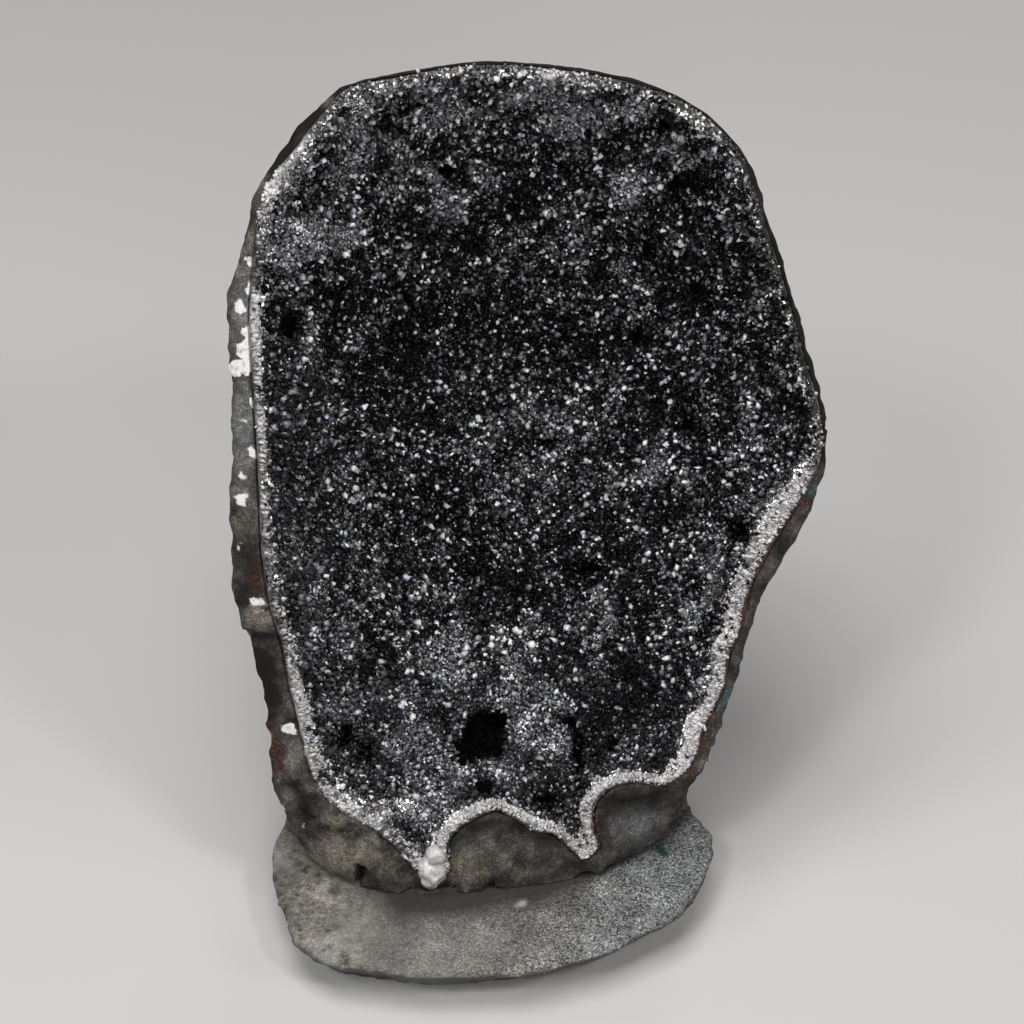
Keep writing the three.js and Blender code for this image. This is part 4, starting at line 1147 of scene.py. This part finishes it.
milky_finish = quartz_finish("milky_quartz", 0.3, 0.5)
milky_rim = marks(rim_seen, MILKY_SPOTS, 1)
near_tip = marks(rim_seen, [(431, 876, 18, 18, 1.4)], 1)
swell = 0.95 + 0.3 * lumps(rim_points, 0.006, 43) + 0.25 * lumps(rim_points, 0.0025, 44)
swell += 0.35 * milky_rim
swell += 0.5 * marks(rim_seen, [(431, 872, 11, 12, 1)])
band_wide = band_mm * MM * swell
band_middle = rim_points - across * (0.44 * band_wide)[:, None] - ahead * 0.0008
band_middle += across * (0.00025 * smooth(0.5, 0.1, rusty))[:, None]
rim_band = tube("rim_band", band_middle, 0.5 * band_wide, BAND_DEPTH * (1 + 1.4 * near_tip), BAND_SIDES)
points, normals = points_of(rim_band), normals_of(rim_band)
height = 0.00022 * lumps(points, 0.0017, 45) + 0.00016 * lumps(points, 0.0009, 46)
move_to(rim_band, points + normals * height[:, None])
inner = 0.75 + 0.25 * np.cos(2 * math.pi * np.arange(BAND_SIDES) / BAND_SIDES)
paleness = np.tile(np.maximum(band_pale, milky_rim), BAND_SIDES)
tone = (0.004 + 0.64 * paleness ** 1.8) * np.repeat(inner, len(rim_points))
tone *= (1 + 0.4 * lumps(points, 0.0032, 47)) * (1 + 0.5 * np.tile(milky_rim, BAND_SIDES))

tip_lumps = []
for *at, radius in TIP_LUMPS:
    at = np.array([at], float)
    place = on_face((at - PICTURE / 2) * [PIXEL_MM, -PIXEL_MM], behind_mm[nearest_rim(at)[1]])[0]
    bpy.ops.object.select_all(action="DESELECT")
    bpy.ops.mesh.primitive_ico_sphere_add(subdivisions=4, radius=radius * MM, location=place)
    bpy.ops.object.transform_apply(location=True)
    lump = bpy.context.object
    round_points = points_of(lump)
    bulge = 0.16 * lumps(round_points, 0.002, 48) + 0.07 * lumps(round_points, 0.0009, 49)
    move_to(lump, round_points + (round_points - place) * bulge[:, None])
    tip_lumps.append(lump)
select_only(rim_band)
for lump in tip_lumps:
    lump.select_set(True)
bpy.ops.object.join()
bpy.ops.object.shade_smooth()
lump_points = points_of(rim_band)[len(tone):]
tone = np.concatenate((tone, 0.6 + 0.12 * lumps(lump_points, 0.0015, 50)))
paint_quartz(rim_band, np.clip(tone[:, None] * np.array([1, 0.97, 0.962]), 0, 0.9))
rim_band.data.materials.append(milky_finish)
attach(rim_band, "root")
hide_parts("crystal_crust")

# The fibres of the band. Short white needles and small blunt points of quartz, packed side by side
# on the ribbon and pointing inwards. Over the thin top edge a few grains stand outwards.
FIBRES = 9500
FIBRE_WIDTH = 0.00036
WIDEST_FIBRE = 0.00085
FIBRE_SHAPES = [2, 5]

weight = (0.35 + 0.65 * band_pale) * (0.35 + band_mm / 3) * (1 - 0.8 * near_tip)
root_at = rng.choice(len(rim_points), FIBRES, p=weight / weight.sum())
depth_in = rng.uniform(-0.05, 0.95, FIBRES)
band, pale = band_wide[root_at], band_pale[root_at]
high_up = smooth(0.12, 0.14, rim_points[:, 2])
thin = np.maximum(smooth(1.5, 0.8, basalt_mm), smooth(3.2, 0.8, basalt_mm) * high_up)[root_at]
spill = thin * rng.uniform(0, 0.0005, FIBRES)
forward = -BAND_DEPTH * depth_in - 0.3 * spill + 0.0002 * rng.normal(0, 1, FIBRES)
places = rim_points[root_at] + across[root_at] * (spill - band * depth_in)[:, None]
places += ahead[root_at] * forward[:, None]
places += along[root_at] * (0.0003 * rng.normal(0, 1, FIBRES))[:, None]
axes = ahead[root_at] * (0.4 + 0.8 * thin)[:, None] - across[root_at] * (1 - thin)[:, None]
axes = unit(axes + rng.normal(0, 0.36, (FIBRES, 3)))
beads = 0.8 * smooth(320, 290, rim_seen[root_at, 0]) * smooth(740, 680, rim_seen[root_at, 1])
widths = FIBRE_WIDTH * np.exp(rng.normal(0, 0.4, FIBRES)) * (1 + 0.4 * thin + beads)
widths = np.minimum(widths, WIDEST_FIBRE)
talls = np.minimum(widths * rng.uniform(1.2, 3.2, FIBRES), band * (1.1 - depth_in) + 0.0002)
talls = np.where(thin > 0.5, widths * rng.uniform(0.9, 1.8, FIBRES), talls)
patch = 1 + 0.5 * lumps(places, 0.0035, 41) + 0.25 * lumps(places, 0.0014, 42)
milky = rng.uniform(0, 1, FIBRES) < np.clip(pale ** 1.4 * patch * 1.3, 0, 0.95)
dull = (0.03 + 0.5 * pale ** 1.5) * rng.uniform(0.1, 1.6, FIBRES)
grey = np.where(milky, rng.uniform(0.5, 0.82, FIBRES), dull) * (1 + 0.5 * milky_rim[root_at])
colours = np.clip(grey[:, None] * np.array([1, 0.972, 0.966]), 0, 0.92)
sizes = np.column_stack((widths, widths, talls))
shape_of = rng.choice(FIBRE_SHAPES, FIBRES)
rim_quartz = joined_crystals("rim_quartz", crystal_shapes, shape_of, places, axes, sizes, colours, root=0.65)
rim_quartz.data.materials.append(milky_finish)
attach(rim_quartz, "root")
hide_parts("crystal_crust")
